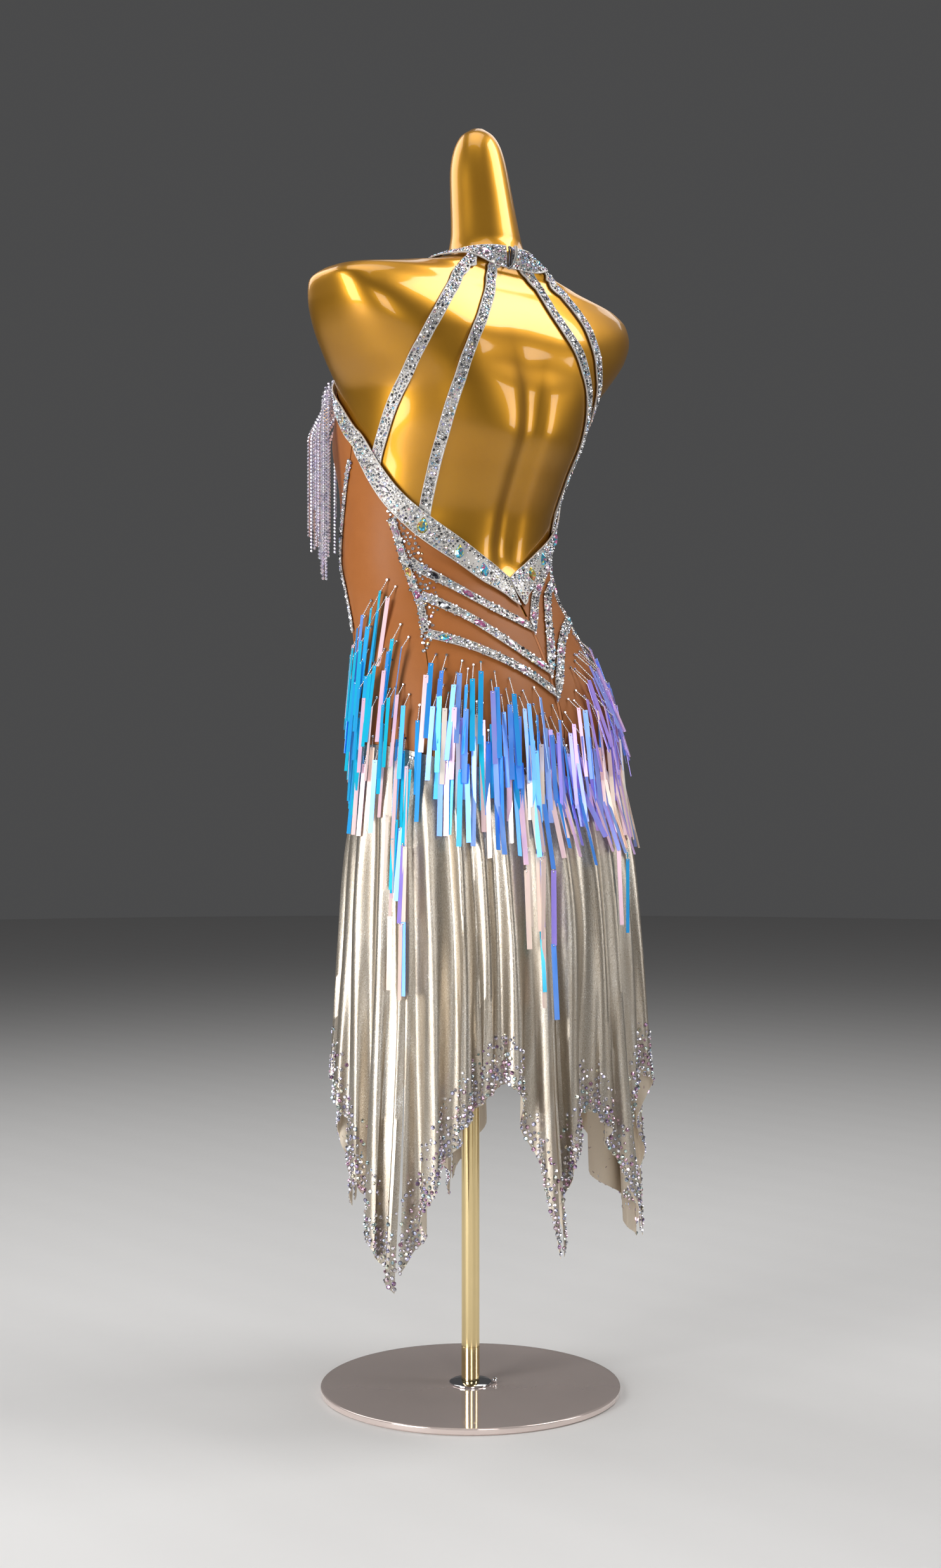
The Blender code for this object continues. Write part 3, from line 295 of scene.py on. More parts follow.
class SkirtShape:
    """The surface on which the skirt's gores hang."""

    SQUARE = 2.1
    LEAVES_FORM = 0.760
    LEFT_FORM = 0.690
    FLUTES = 11
    FLUTE_LEAN = 6.0
    FLUTE_HEIGHT = 0.50

    def __init__(self) -> None:
        """Makes the curves through the sections."""
        heights = [s.z for s in SKIRT_SECTIONS]
        self.curves = {
            name: smooth_curve(heights, [getattr(s, name) for s in SKIRT_SECTIONS])
            for name in SkirtSection._fields
        }

    def point(self, angle: Array, z: Array, fold: Array = 0.0) -> Array:
        """Points of the skirt's inner face. fold runs from -1 in a groove to 1 on a ridge."""
        size = {name: curve(z) for name, curve in self.curves.items()}
        turn = np.radians(angle)
        cosine, sine = np.cos(turn), np.sin(turn)
        reach = np.where(sine > 0, size["back"], size["front"])
        flute_phase = np.radians(self.FLUTES * np.asarray(angle, float))
        flute_phase = flute_phase + self.FLUTE_LEAN * (z - self.FLUTE_HEIGHT)
        flute = size["flute"] * (np.cos(flute_phase) - 1) / 2
        out = size["fold"] * (fold - 1) + flute
        x = (size["half_width"] + out) * power(cosine, 2 / self.SQUARE)
        y = size["centre"] + (reach + out) * power(sine, 2 / self.SQUARE)
        hanging = np.stack(np.broadcast_arrays(x, y, z), axis=-1)
        gap = CLOTH_GAP + size["fold"] * (fold + 1)
        on_form = SHAPE.surface(angle, np.maximum(z, self.LEFT_FORM - 0.01), gap)
        free = (1 - ramp(z, self.LEFT_FORM, self.LEAVES_FORM))[..., None]
        return on_form * (1 - free) + hanging * free


SKIRT = SkirtShape()


# ---------------------------------------------------------------- nodes
class Signal:
    """A socket of a node tree that takes part in arithmetic."""

    def __init__(self, recipe: Recipe, socket: bpy.types.NodeSocket) -> None:
        """Keeps the recipe that adds the nodes, and the socket."""
        self.recipe = recipe
        self.socket = socket

    def maths(self, operation: str, left: Signal | float, right: Signal | float) -> Signal:
        """Adds a Math node."""
        return self.recipe.node("ShaderNodeMath", {"operation": operation}, {0: left, 1: right})

    def __add__(self, other: Signal | float) -> Signal:
        """This plus other."""
        return self.maths("ADD", self, other)

    def __sub__(self, other: Signal | float) -> Signal:
        """This minus other."""
        return self.maths("SUBTRACT", self, other)

    def __rsub__(self, other: float) -> Signal:
        """Other minus this."""
        return self.maths("SUBTRACT", other, self)

    def __mul__(self, other: Signal | float) -> Signal:
        """This times other."""
        return self.maths("MULTIPLY", self, other)

    __radd__ = __add__
    __rmul__ = __mul__


Colour = tuple[float, float, float]
Stops = tuple[tuple[float, Colour], ...]


class Recipe:
    """Adds the nodes of one material or one geometry tree."""

    def __init__(self, tree: bpy.types.NodeTree) -> None:
        """Starts an empty recipe on a tree."""
        self.tree = tree
        tree.nodes.clear()

    def node(
        self, kind: str, settings: dict | None = None, inputs: dict | None = None, output: int | str = 0
    ) -> Signal:
        """Adds one node.

        Args:
            kind: the node's type.
            settings: its settings, set first. stops are a colour ramp's places and colours.
            inputs: the values or links of its sockets, by name or number.
            output: the socket that is given back.

        Returns:
            The output, as a signal.
        """
        made = self.tree.nodes.new(kind)
        for name, value in (settings or {}).items():
            if name == "stops":
                elements = made.color_ramp.elements
                while len(elements) < len(value):
                    elements.new(1.0)
                for element, (place, colour) in zip(elements, value):
                    element.position = place
                    element.color = (*colour, 1.0)
            else:
                setattr(made, name, value)
        for key, value in (inputs or {}).items():
            if isinstance(value, Signal):
                self.tree.links.new(value.socket, made.inputs[key])
            elif isinstance(value, tuple) and len(value) == 3 and made.inputs[key].type == "RGBA":
                made.inputs[key].default_value = (*value, 1.0)
            else:
                made.inputs[key].default_value = value
        return Signal(self, made.outputs[output])

    def noise(self, place: Signal, scale: float, detail: float) -> Signal:
        """Adds cloudy noise between 0 and 1."""
        return self.node("ShaderNodeTexNoise", {}, {"Vector": place, "Scale": scale, "Detail": detail})

    def stretch(self, place: Signal, scale: Colour) -> Signal:
        """Scales a place by a different number on each axis."""
        return self.node("ShaderNodeMapping", {}, {"Vector": place, "Scale": scale})

    def colours(self, value: Signal, stops: Stops) -> Signal:
        """Adds a colour ramp."""
        return self.node("ShaderNodeValToRGB", {"stops": stops}, {"Fac": value})

    def mix(self, share: Signal | float, low: Signal | Colour, high: Signal | Colour) -> Signal:
        """Mixes two colours."""
        return self.node("ShaderNodeMix", {"data_type": "RGBA"}, {0: share, 6: low, 7: high}, 2)

    def bump(self, height: Signal, distance: float, strength: float) -> Signal:
        """Adds a bump of a height in metres."""
        return self.node("ShaderNodeBump", {}, {"Height": height, "Distance": distance, "Strength": strength})


@dataclass(frozen=True)
class Finish:
    """A finish of the object: a Blender material, made once, and the record's slot that it belongs to."""

    name: str
    slot: str

    def build(self) -> bpy.types.Material:
        """The material, which is made at its first use."""
        if self.name in bpy.data.materials:
            return bpy.data.materials[self.name]
        made = bpy.data.materials.new(self.name)
        made.use_nodes = True
        recipe = Recipe(made.node_tree)
        surface = recipe.node("ShaderNodeBsdfPrincipled", {}, self.surface(recipe), "BSDF")
        out = made.node_tree.nodes.new("ShaderNodeOutputMaterial")
        made.node_tree.links.new(surface.socket, out.inputs["Surface"])
        return made

    def surface(self, recipe: Recipe) -> dict:
        """The values and links of the shader's sockets."""
        raise NotImplementedError


@dataclass(frozen=True)
class GoldLacquer(Finish):
    """Gold lacquer with fine flakes under a clear coat."""

    deep: Colour = (0.50, 0.220, 0.012)
    light: Colour = (0.64, 0.315, 0.026)

    def surface(self, recipe: Recipe) -> dict:
        """Cloudy gold, with flakes in its roughness and bump."""
        place = recipe.node("ShaderNodeTexCoord", output="Object")
        clouds = recipe.noise(place, 14.0, 3.0)
        flakes = recipe.noise(place, 1800.0, 1.0)
        waves = recipe.noise(place, 24.0, 1.0)
        return {
            "Base Color": recipe.mix(clouds * 0.7 + flakes * 0.3, self.deep, self.light),
            "Roughness": flakes * 0.10 + 0.33,
            "Metallic": 0.90,
            "Coat Weight": 0.7,
            "Coat Roughness": 0.06,
            "Normal": recipe.bump(flakes * 0.02 + waves, 0.3 * MM, 0.25),
        }


@dataclass(frozen=True)
class Metal(Finish):
    """A polished metal with faint smudges."""

    colour: Colour
    roughness: float
    smudges: float = 0.06
    scale: float = 40.0
    metallic: float = 1.0

    def surface(self, recipe: Recipe) -> dict:
        """An even metal whose roughness varies softly."""
        place = recipe.node("ShaderNodeTexCoord", output="Object")
        smudge = recipe.noise(place, self.scale, 4.0)
        darker = tuple(0.93 * c for c in self.colour)
        return {
            "Base Color": recipe.mix(smudge, self.colour, darker),
            "Roughness": smudge * self.smudges + self.roughness,
            "Metallic": self.metallic,
            "Coat Weight": 1.0 if self.metallic < 1.0 else 0.0,
        }


@dataclass(frozen=True)
class PowerMesh(Finish):
    """Tan stretch mesh with a net of fine holes."""

    thread: Colour = (0.45, 0.155, 0.036)
    hole: Colour = (0.30, 0.094, 0.019)
    pitch: float = 0.9 * MM

    def surface(self, recipe: Recipe) -> dict:
        """A net on the cloth's own UV map, which is in metres."""
        place = recipe.node("ShaderNodeUVMap", output="UV")
        net = recipe.node("ShaderNodeTexVoronoi", {"feature": "F1"}, {
            "Vector": place, "Scale": 1 / self.pitch, "Randomness": 0.25}, "Distance")
        weave = recipe.noise(place, 60.0, 3.0)
        return {
            "Base Color": recipe.mix(net * 0.7 + weave * 0.3, self.hole, self.thread),
            "Roughness": weave * 0.15 + 0.42,
            "Specular IOR Level": 0.3,
            "Sheen Weight": 0.03,
            "Sheen Roughness": 0.4,
            "Normal": recipe.bump(net, 0.15 * MM, 0.5),
        }


@dataclass(frozen=True)
class Foil(Finish):
    """Silver foil on a fine knit, streaky along the cloth's length."""

    thread: Colour = (0.40, 0.31, 0.21)
    cloth: Colour = (0.56, 0.50, 0.42)
    foil: Colour = (0.96, 0.95, 0.93)
    shine: float = 0.85
    roughness: float = 0.24

    def surface(self, recipe: Recipe) -> dict:
        """Ragged streaks on the cloth's own UV map, whose second axis runs down the cloth."""
        place = recipe.node("ShaderNodeUVMap", output="UV")
        streaks = recipe.noise(recipe.stretch(place, (800.0, 330.0, 1.0)), 1.0, 2.0)
        grain = recipe.noise(place, 950.0, 1.0)
        clouds = recipe.noise(recipe.stretch(place, (60.0, 7.0, 1.0)), 1.0, 3.0)
        mark = streaks * 0.35 + grain * 0.35 + clouds * 0.30
        stops = ((0.36, self.thread), (0.49, self.cloth), (0.56, self.cloth), (0.64, self.foil))
        return {
            "Base Color": recipe.colours(mark, stops),
            "Roughness": grain * 0.25 + self.roughness - 0.05,
            "Metallic": self.shine,
            "Normal": recipe.bump(streaks * 0.5 + grain * 0.5, 0.34 * MM, 0.8),
        }


@dataclass(frozen=True)
class Knit(Finish):
    """A plain fine knit, such as a lining face or a folded edge."""

    colour: Colour
    shadow: Colour
    shine: float = 0.0
    roughness: float = 0.6
    pitch: float = 0.6 * MM
    ribbing: float = 0.35

    def surface(self, recipe: Recipe) -> dict:
        """Fine ribs on the cloth's own UV map."""
        place = recipe.node("ShaderNodeUVMap", output="UV")
        ribs = recipe.node("ShaderNodeTexWave", {"bands_direction": "X"}, {
            "Vector": place, "Scale": 1 / self.pitch / 20, "Distortion": 0.6, "Detail": 1.0})
        clouds = recipe.noise(place, 35.0, 3.0)
        return {
            # The mix towards the shadow colour is painted shade in the rib grooves, together with cloudy tone that
            # varies at random.
            "Base Color": recipe.mix(ribs * self.ribbing + clouds * 0.5, self.colour, self.shadow),
            "Roughness": clouds * 0.12 + self.roughness,
            "Metallic": self.shine,
            "Normal": recipe.bump(ribs, 0.34 * MM * self.ribbing, 0.5),
        }


@dataclass(frozen=True)
class Crystal(Finish):
    """Foil-backed glass stones. Their tint attribute runs along a ramp of colours, and they give off a painted glow of
    that colour.
    """

    stops: Stops
    shimmer: float = 0.35
    patch: float = 520.0
    glow: float = 0.05

    def surface(self, recipe: Recipe) -> dict:
        """A tint for each stone, with a shimmer of other tints over its facets, painted shade darkening it towards its
        girdle, and a painted glow.
        """
        tint = recipe.node("ShaderNodeAttribute", {"attribute_name": "tint"}, output="Fac")
        place = recipe.node("ShaderNodeTexCoord", output="Object")
        flicker = recipe.noise(place, self.patch, 1.0)
        colour = recipe.colours(tint + (flicker - 0.5) * self.shimmer, self.stops)
        # Painted shade: each stone's colour darkens towards its girdle.
        own = recipe.node("ShaderNodeUVMap", output="UV")
        away = recipe.node("ShaderNodeVectorMath", {"operation": "LENGTH"}, {0: own}, "Value")
        rim = recipe.colours(away, ((0.60, (1.0, 1.0, 1.0)), (0.96, (0.22, 0.22, 0.24))))
        colour = recipe.node("ShaderNodeMix", {"data_type": "RGBA", "blend_type": "MULTIPLY"}, {
            0: 1.0, 6: colour, 7: rim}, 2)
        return {
            "Base Color": colour,
            # Painted glow: the stones give off a little light of their own colour, though they are no lamp.
            "Emission Color": colour,
            "Emission Strength": self.glow,
            "Roughness": flicker * 0.08 + 0.03,
            "Metallic": 0.9,
        }


@dataclass(frozen=True)
class Film(Finish):
    """Pearly plastic film that changes its colour softly along each strip and gives off a painted glow."""

    stops: Stops
    drift: float = 0.14
    glow: float = 0.15

    def surface(self, recipe: Recipe) -> dict:
        """A tint for each strip, which drifts over its length, also shown as a painted glow."""
        tint = recipe.node("ShaderNodeAttribute", {"attribute_name": "tint"}, output="Fac")
        place = recipe.node("ShaderNodeTexCoord", output="Object")
        wave = recipe.noise(recipe.stretch(place, (90.0, 90.0, 22.0)), 1.0, 1.0)
        colour = recipe.colours(tint + (wave - 0.5) * self.drift, self.stops)
        return {
            "Base Color": colour,
            "Roughness": wave * 0.10 + 0.18,
            "Metallic": 0.30,
            "Coat Weight": 0.35,
            "Coat Roughness": 0.10,
            # Painted glow: the film gives off light of its own colour, though it is no lamp.
            "Emission Color": colour,
            "Emission Strength": self.glow,
        }


GOLD = GoldLacquer("gold_lacquer_coat", "gold_lacquer")
BRASS = Metal("brass_tube", "polished_brass", (0.86, 0.68, 0.36), 0.10)
MIRROR = Metal("mirror_steel", "mirror_plate", (0.82, 0.69, 0.64), 0.03, 0.05, 18.0, 0.5)
CHROME = Metal("chrome_plate", "chrome", (0.82, 0.82, 0.84), 0.07)
HOOK = Metal("dark_hook", "chrome", (0.10, 0.10, 0.11), 0.25)
TAN = PowerMesh("tan_power_mesh", "tan_mesh")
LAME = Foil("silver_lame_face", "silver_lame")
LAME_BACK = Knit("lame_reverse", "silver_lame", (0.72, 0.63, 0.51), (0.60, 0.51, 0.40), ribbing=0.04)
BAND_CLOTH = Knit("band_cloth", "crystal_trim", (0.66, 0.63, 0.59), (0.50, 0.47, 0.44), 0.25, 0.42)
CLEAR_STOPS = (
    (0.0, (0.05, 0.05, 0.06)), (0.12, (0.42, 0.43, 0.45)), (0.28, (0.92, 0.92, 0.93)), (0.58, (0.97, 0.97, 0.99)),
    (0.70, (0.62, 0.56, 0.95)), (0.80, (0.35, 0.85, 0.95)), (0.90, (0.95, 0.50, 0.72)), (1.0, (0.95, 0.88, 0.45)),
)
STONES = Crystal("crystal_stones", "crystal_trim", CLEAR_STOPS)
LARGE_STOPS = (
    (0.0, (0.04, 0.04, 0.05)), (0.24, (0.82, 0.83, 0.86)), (0.42, (0.96, 0.50, 0.78)), (0.56, (0.85, 0.12, 0.40)),
    (0.64, (0.15, 0.80, 0.85)), (0.74, (0.04, 0.38, 0.85)), (0.86, (0.85, 0.88, 0.16)), (1.0, (0.98, 0.36, 0.20)),
)
LARGE = Crystal("large_stones", "crystal_trim", LARGE_STOPS, 0.9, 210.0, 0.20)
HEM_STOPS = (
    (0.0, (0.45, 0.36, 0.62)), (0.08, (0.72, 0.40, 0.55)), (0.18, (0.92, 0.72, 0.80)), (0.32, (0.95, 0.95, 0.97)),
    (0.62, (0.86, 0.84, 0.97)), (0.76, (0.66, 0.62, 0.93)), (0.88, (0.62, 0.88, 0.90)), (1.0, (0.95, 0.86, 0.66)),
)
HEM_STONES = Crystal("hem_stones", "crystal_trim", HEM_STOPS)
CHAIN_STOPS = (
    (0.0, (0.46, 0.43, 0.54)), (0.20, (0.88, 0.85, 0.96)), (0.5, (0.97, 0.96, 0.98)), (0.75, (0.95, 0.82, 0.90)),
    (1.0, (0.80, 0.76, 0.96)),
)
CHAIN = Crystal("chain_stones", "crystal_chain", CHAIN_STOPS, glow=0.22)
FILM_STOPS = (
    (0.00, (0.01, 0.56, 0.80)), (0.16, (0.03, 0.36, 0.90)), (0.32, (0.09, 0.30, 0.92)),
    (0.46, (0.30, 0.48, 0.95)), (0.58, (0.34, 0.28, 0.90)), (0.68, (0.52, 0.34, 0.88)),
    (0.80, (0.92, 0.62, 0.74)), (0.90, (0.97, 0.78, 0.66)), (1.00, (0.98, 0.92, 0.84)),
)
FILM = Film("pearly_film", "iridescent_strip", FILM_STOPS)
BEADS = Metal("silver_beads", "iridescent_strip", (0.85, 0.83, 0.82), 0.16, 0.1, 300.0)


# ---------------------------------------------------------------- meshes
def make_object(name: str, verts: Array, faces: Sequence[Sequence[int]], finishes: Sequence[Finish],
                uv: Array | None = None, kinds: Sequence[int] | None = None,
                sharp: float = 40.0) -> bpy.types.Object:
    """Makes an object at the origin from points and faces.

    Args:
        name: the piece's name.
        verts: its points.
        faces: each face's points, counter-clockwise from outside.
        finishes: its finishes.
        uv: a place on the cloth, in metres, for each point.
        kinds: the number of each face's finish.
        sharp: edges that turn by more degrees than this look sharp.

    Returns:
        The object.
    """
    mesh = bpy.data.meshes.new(name)
    mesh.from_pydata(np.asarray(verts).tolist(), [], [list(f) for f in faces])
    for finish in finishes:
        mesh.materials.append(finish.build())
    if uv is not None:
        layer = mesh.uv_layers.new(name="UVMap")
        corners = np.empty(len(mesh.loops), dtype=np.int32)
        mesh.loops.foreach_get("vertex_index", corners)
        layer.data.foreach_set("uv", np.asarray(uv, dtype=np.float32)[corners].ravel())
    if kinds is not None:
        mesh.polygons.foreach_set("material_index", np.asarray(kinds, dtype=np.int32))
    mesh.shade_smooth()
    mesh.set_sharp_from_angle(angle=math.radians(sharp))
    mesh.update()
    made = bpy.data.objects.new(name, mesh)
    bpy.context.scene.collection.objects.link(made)
    return made


def grid_faces(rows: int, columns: int, closed: bool = False) -> Array:
    """Faces of a grid of points, whose normals point out where columns go round and rows go up."""
    row, column = np.meshgrid(np.arange(rows - 1), np.arange(columns - (0 if closed else 1)), indexing="ij")
    after, low, high = (column + 1) % columns, row * columns, (row + 1) * columns
    return np.stack([c.ravel() for c in (low + column, low + after, high + after, high + column)], axis=1)


class Patch:
    """A grid of points [row, column] on an outer face, with its normals and its places on the cloth."""

    def __init__(self, points: Array, axis: Array = np.zeros(2)) -> None:
        """Keeps the points so that the normals point away from an upright axis."""
        normals = self.cross(points)
        away = points[..., :2] - axis
        if (normals[..., :2] * away).sum() < 0:
            points = points[::-1]
            normals = self.cross(points)
        self.points = points
        self.normals = normals
        steps = np.linalg.norm(np.diff(points, axis=1), axis=2)
        rises = np.linalg.norm(np.diff(points, axis=0), axis=2)
        u = np.concatenate([np.zeros((len(points), 1)), np.cumsum(steps, axis=1)], axis=1)
        v = np.concatenate([np.zeros((1, points.shape[1])), np.cumsum(rises, axis=0)], axis=0)
        self.uv = np.stack([u - u.mean(axis=1, keepdims=True), v], axis=-1)
        self.width = float(u[:, -1].max())
        self.length = float(v[-1].max())
        cells = np.linalg.norm(np.cross(points[:-1, 1:] - points[:-1, :-1], points[1:, :-1] - points[:-1, :-1]),
                               axis=2)
        self.area = float(cells.sum())

    @staticmethod
    def cross(points: Array) -> Array:
        """Normals of a grid."""
        return unit(np.cross(np.gradient(points, axis=1), np.gradient(points, axis=0)))

    def at(self, u: Array, v: Array) -> tuple[Array, Array, Array]:
        """Points, normals and directions along the columns, at shares of the width and the height."""
        rows, columns = self.points.shape[:2]
        x, y = np.clip(u, 0, 1) * (columns - 1), np.clip(v, 0, 1) * (rows - 1)
        i, j = np.minimum(y.astype(int), rows - 2), np.minimum(x.astype(int), columns - 2)
        fx, fy = (x - j)[:, None], (y - i)[:, None]

        def mixed(field: Array) -> Array:
            low = field[i, j] * (1 - fx) + field[i, j + 1] * fx
            high = field[i + 1, j] * (1 - fx) + field[i + 1, j + 1] * fx
            return low * (1 - fy) + high * fy

        along = unit(self.points[i, j + 1] - self.points[i, j])
        return mixed(self.points), unit(mixed(self.normals)), along

    def shell(self, name: str, thickness: float, face: Finish, reverse: Finish | None = None) -> bpy.types.Object:
        """A closed cloth wall whose outer face is this grid.

        Args:
            name: the piece's name.
            thickness: the cloth's thickness.
            face: the outer finish.
            reverse: the finish of the inner face and the cut edges.

        Returns:
            The object.
        """
        rows, columns = self.points.shape[:2]
        count = rows * columns
        inner = self.points - self.normals * thickness
        outer_faces = grid_faces(rows, columns)
        inner_faces = outer_faces[:, ::-1] + count
        loop = [*range(columns), *(r * columns + columns - 1 for r in range(1, rows)),
                *range(count - 2, count - columns - 1, -1), *((r * columns) for r in range(rows - 2, 0, -1))]
        rim = [(b, a, a + count, b + count) for a, b in zip(loop, loop[1:] + loop[:1])]
        faces = [*outer_faces.tolist(), *inner_faces.tolist(), *rim]
        kinds = [0] * len(outer_faces) + [1 if reverse else 0] * (len(inner_faces) + len(rim))
        verts = np.concatenate([self.points.reshape(-1, 3), inner.reshape(-1, 3)])
        uv = np.tile(self.uv.reshape(-1, 2), (2, 1))
        finishes = [face, reverse] if reverse else [face]
        return make_object(name, verts, faces, finishes, uv, kinds)


def loft(name: str, rings: Array, finish: Finish, sharp: float = 40.0) -> bpy.types.Object:
    """A closed skin over rings of points, with flat ends.

    Args:
        name: the piece's name.
        rings: the points, [ring, place round it].
        finish: its finish.
        sharp: edges that turn by more degrees than this look sharp.

    Returns:
        The object.
    """
    count, around = rings.shape[:2]
    faces = grid_faces(count, around, closed=True)
    low, high = list(range(around))[::-1], list(range((count - 1) * around, count * around))
    middle = rings.reshape(-1, 3).mean(axis=0)
    corner = rings.reshape(-1, 3)[faces] - middle
    volume = np.einsum("ij,ij->i", corner[:, 0], np.cross(corner[:, 1], corner[:, 2])).sum()
    faces = [*faces.tolist(), low, high]
    if volume < 0:
        faces = [f[::-1] for f in faces]
    steps = np.linalg.norm(np.diff(rings, axis=1, append=rings[:, :1]), axis=2)
    rises = np.linalg.norm(np.diff(rings, axis=0, prepend=rings[:1]), axis=2)
    u = np.cumsum(steps, axis=1)
    uv = np.stack([u, np.cumsum(rises, axis=0)], axis=-1).reshape(-1, 2)
    return make_object(name, rings.reshape(-1, 3), faces, [finish], uv, sharp=sharp)


def turned(name: str, profile: Sequence[tuple[float, float]], sides: int, finish: Finish,
           sharp: float = 30.0) -> bpy.types.Object:
    """A turned piece on the Z axis.

    Args:
        name: the piece's name.
        profile: radii and heights, from the bottom up.
        sides: how many sides it has.
        finish: its finish.
        sharp: edges that turn by more degrees than this look sharp.

    Returns:
        The object.
    """
    turn = np.arange(sides) * 2 * math.pi / sides
    rings = [np.stack([r * np.cos(turn), r * np.sin(turn), np.full(sides, z)], axis=-1) for r, z in profile]
    return loft(name, np.array(rings), finish, sharp)


class Dresser:
    """Puts finished pieces on the frame."""

    def __init__(self) -> None:
        """Starts with no pieces."""
        self.pieces = 0

    def place(self, piece: bpy.types.Object, finish: Finish, *nodes: str) -> None:
        """Rides a piece on the frame, in place of some nodes if any are given."""
        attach(piece, BODY)
        if nodes:
            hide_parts(*nodes)
        self.pieces += 1
        LOG.info("%s: %d faces", piece.name, len(piece.data.polygons))


# ---------------------------------------------------------------- stand and form
@dataclass
class Stand:
    """The round base, the flange with its screw, the pole and the form's socket."""

    base_radius: float = 0.178
    base_thickness: float = 0.008
    bevel: float = 0.0016
    flange_radius: float = 0.025
    flange_height: float = 0.004
    pole_radius: float = 0.0108
    seam: float = 0.3 * MM
    socket_radius: float = 0.032
    socket_height: float = 0.016
    screw_radius: float = 0.0032
    screw_length: float = 0.006
    screw_bearing: float = 137.0
    collar_height: float = 0.040

    def build(self, dresser: Dresser) -> None:
        """Makes and places the stand's pieces."""
        r, h, b = self.base_radius, self.base_thickness, self.bevel
        rounding = [(r - b + b * math.sin(t), h - b + b * math.cos(t)) for t in np.linspace(math.pi / 2, 0, 5)]
        plate = turned("base_mirror", [(r - b, 0), (r, b), *rounding, (r - 2.4 * b, h)], 160, MIRROR)
        dresser.place(plate, MIRROR, "base_plate")
        low = h + self.seam
        f, t = self.flange_radius, self.flange_height
        flange = [(f - 0.0006, low), (f, low + 0.0006), (f, low + t * 0.45), (f - 0.0015, low + t * 0.7),
                  (f - 0.009, low + t * 0.86), (f - 0.012, low + t)]
        dresser.place(turned("pole_flange", flange, 96, CHROME), CHROME, "base_flange")
        low += t + self.seam
        high = FORM_LOW - 2 * self.seam - self.socket_height
        p = self.pole_radius
        joint = low + self.collar_height
        pole = [(p - 0.0003, low), (p, low + 0.0003), (p, joint - 0.0006), (p - 0.0004, joint - 0.0003),
                (p - 0.0004, joint + 0.0003), (p - 0.0001, joint + 0.0006), (p - 0.0001, high - 0.0003),
                (p - 0.0004, high)]
        dresser.place(turned("brass_pole", pole, 64, BRASS), BRASS, "pole")
        low = high + self.seam
        s, t = self.socket_radius, self.socket_height
        socket = [(p + 0.003, low), (s - 0.010, low), (s - 0.008, low + 0.002), (s - 0.008, low + t * 0.6),
                  (s - 0.001, low + t * 0.62), (s, low + t * 0.68), (s, low + t)]
        dresser.place(turned("pole_socket", socket, 96, CHROME), CHROME, "form_socket")
        self.build_screw(dresser)

    def build_screw(self, dresser: Dresser) -> None:
        """Makes the thumb screw in the flange's edge, with flats round its head."""
        bearing = math.radians(self.screw_bearing)
        out = np.array([math.cos(bearing), math.sin(bearing), 0])
        side = np.array([-out[1], out[0], 0])
        start = out * (self.flange_radius + self.seam)
        start[2] = self.base_thickness + self.seam + self.screw_radius
        turn = np.arange(24) * math.pi / 12
        ribs = 1 - 0.06 * (np.arange(24) % 2)
        rings = []
        for reach, radius in ((0, 0.6), (0.3, 0.6), (0.31, 0.92), (0.38, 1.0), (0.92, 1.0), (1.0, 0.9)):
            round_it = side[None] * np.cos(turn)[:, None] + np.array([0, 0, 1])[None] * np.sin(turn)[:, None]
            rim = radius * (ribs if radius > 0.95 else 1.0) * self.screw_radius * np.ones(24)
            rings.append(start + out * reach * self.screw_length + round_it * rim[:, None])
        dresser.place(loft("thumb_screw", np.array(rings), CHROME), CHROME, "flange_screw")


@dataclass
class DressForm:
    """The limbless form."""

    columns: int = 144
    rows: int = 230

    def build(self, dresser: Dresser) -> None:
        """Makes the form's closed skin, flat across its lower end."""
        angles = np.linspace(0, 360, self.columns, endpoint=False)
        levels = np.linspace(0, len(FORM_SECTIONS) - 1, self.rows)
        rings = np.array([SHAPE.point(angles, np.full(self.columns, v)) for v in levels])
        dresser.place(loft("gold_form", rings, GOLD, 60.0), GOLD, "form_torso")


# ---------------------------------------------------------------- lines on the body
class LinePoint(NamedTuple):
    """A height and an angle on the body."""

    z: float
    angle: float


SIDE_BACK_SEAM = table_of(LinePoint, (
    (0.700, 31.0), (0.902, 31.5), (0.942, 32.5), (0.982, 30.5), (1.029, 23.0), (1.060, 18.0),
    (1.089, 13.5),
))
# The loose stones lie between these two lines.
SCATTER_START = table_of(LinePoint, (
    (0.866, 30.0), (0.891, 30.2), (0.912, 31.0), (0.931, 32.4), (0.949, 32.0), (0.965, 31.0),
    (0.986, 29.6), (1.013, 26.0), (1.034, 21.0),
))
SCATTER_END = table_of(LinePoint, (
    (0.866, 33.0), (0.885, 36.5), (0.905, 38.5), (0.915, 43.5), (0.926, 46.5), (0.942, 45.5),
    (0.957, 43.0), (0.975, 46.0), (0.987, 42.5), (1.007, 40.0), (1.022, 32.6), (1.034, 24.0),
))
SIDE_FRONT_SEAM = table_of(LinePoint, (
    (0.700, -26.0), (0.880, -24.0), (0.950, -26.0), (1.000, -23.0), (1.040, -17.0), (1.080, -10.0),
    (1.115, -5.0),
))
ARMHOLE = table_of(LinePoint, (
    (1.115, -5.0), (1.140, -9.0), (1.160, -19.0), (1.178, -38.0), (1.195, -58.5), (1.220, -70.0),
    (1.250, -76.0), (1.280, -79.5), (1.302, -78.0), (1.318, -73.0), (1.330, -66.0),
))
NECKLINE = table_of(LinePoint, (
    (0.933, 104.0), (0.958, 90.0), (0.994, 69.5), (1.029, 44.5), (1.056, 28.0), (1.089, 13.5),
    (1.129, -1.0), (1.160, -15.0), (1.178, -31.0), (1.197, -52.0), (1.224, -67.0), (1.252, -74.5),
    (1.280, -78.0), (1.302, -76.5), (1.318, -71.5),
))


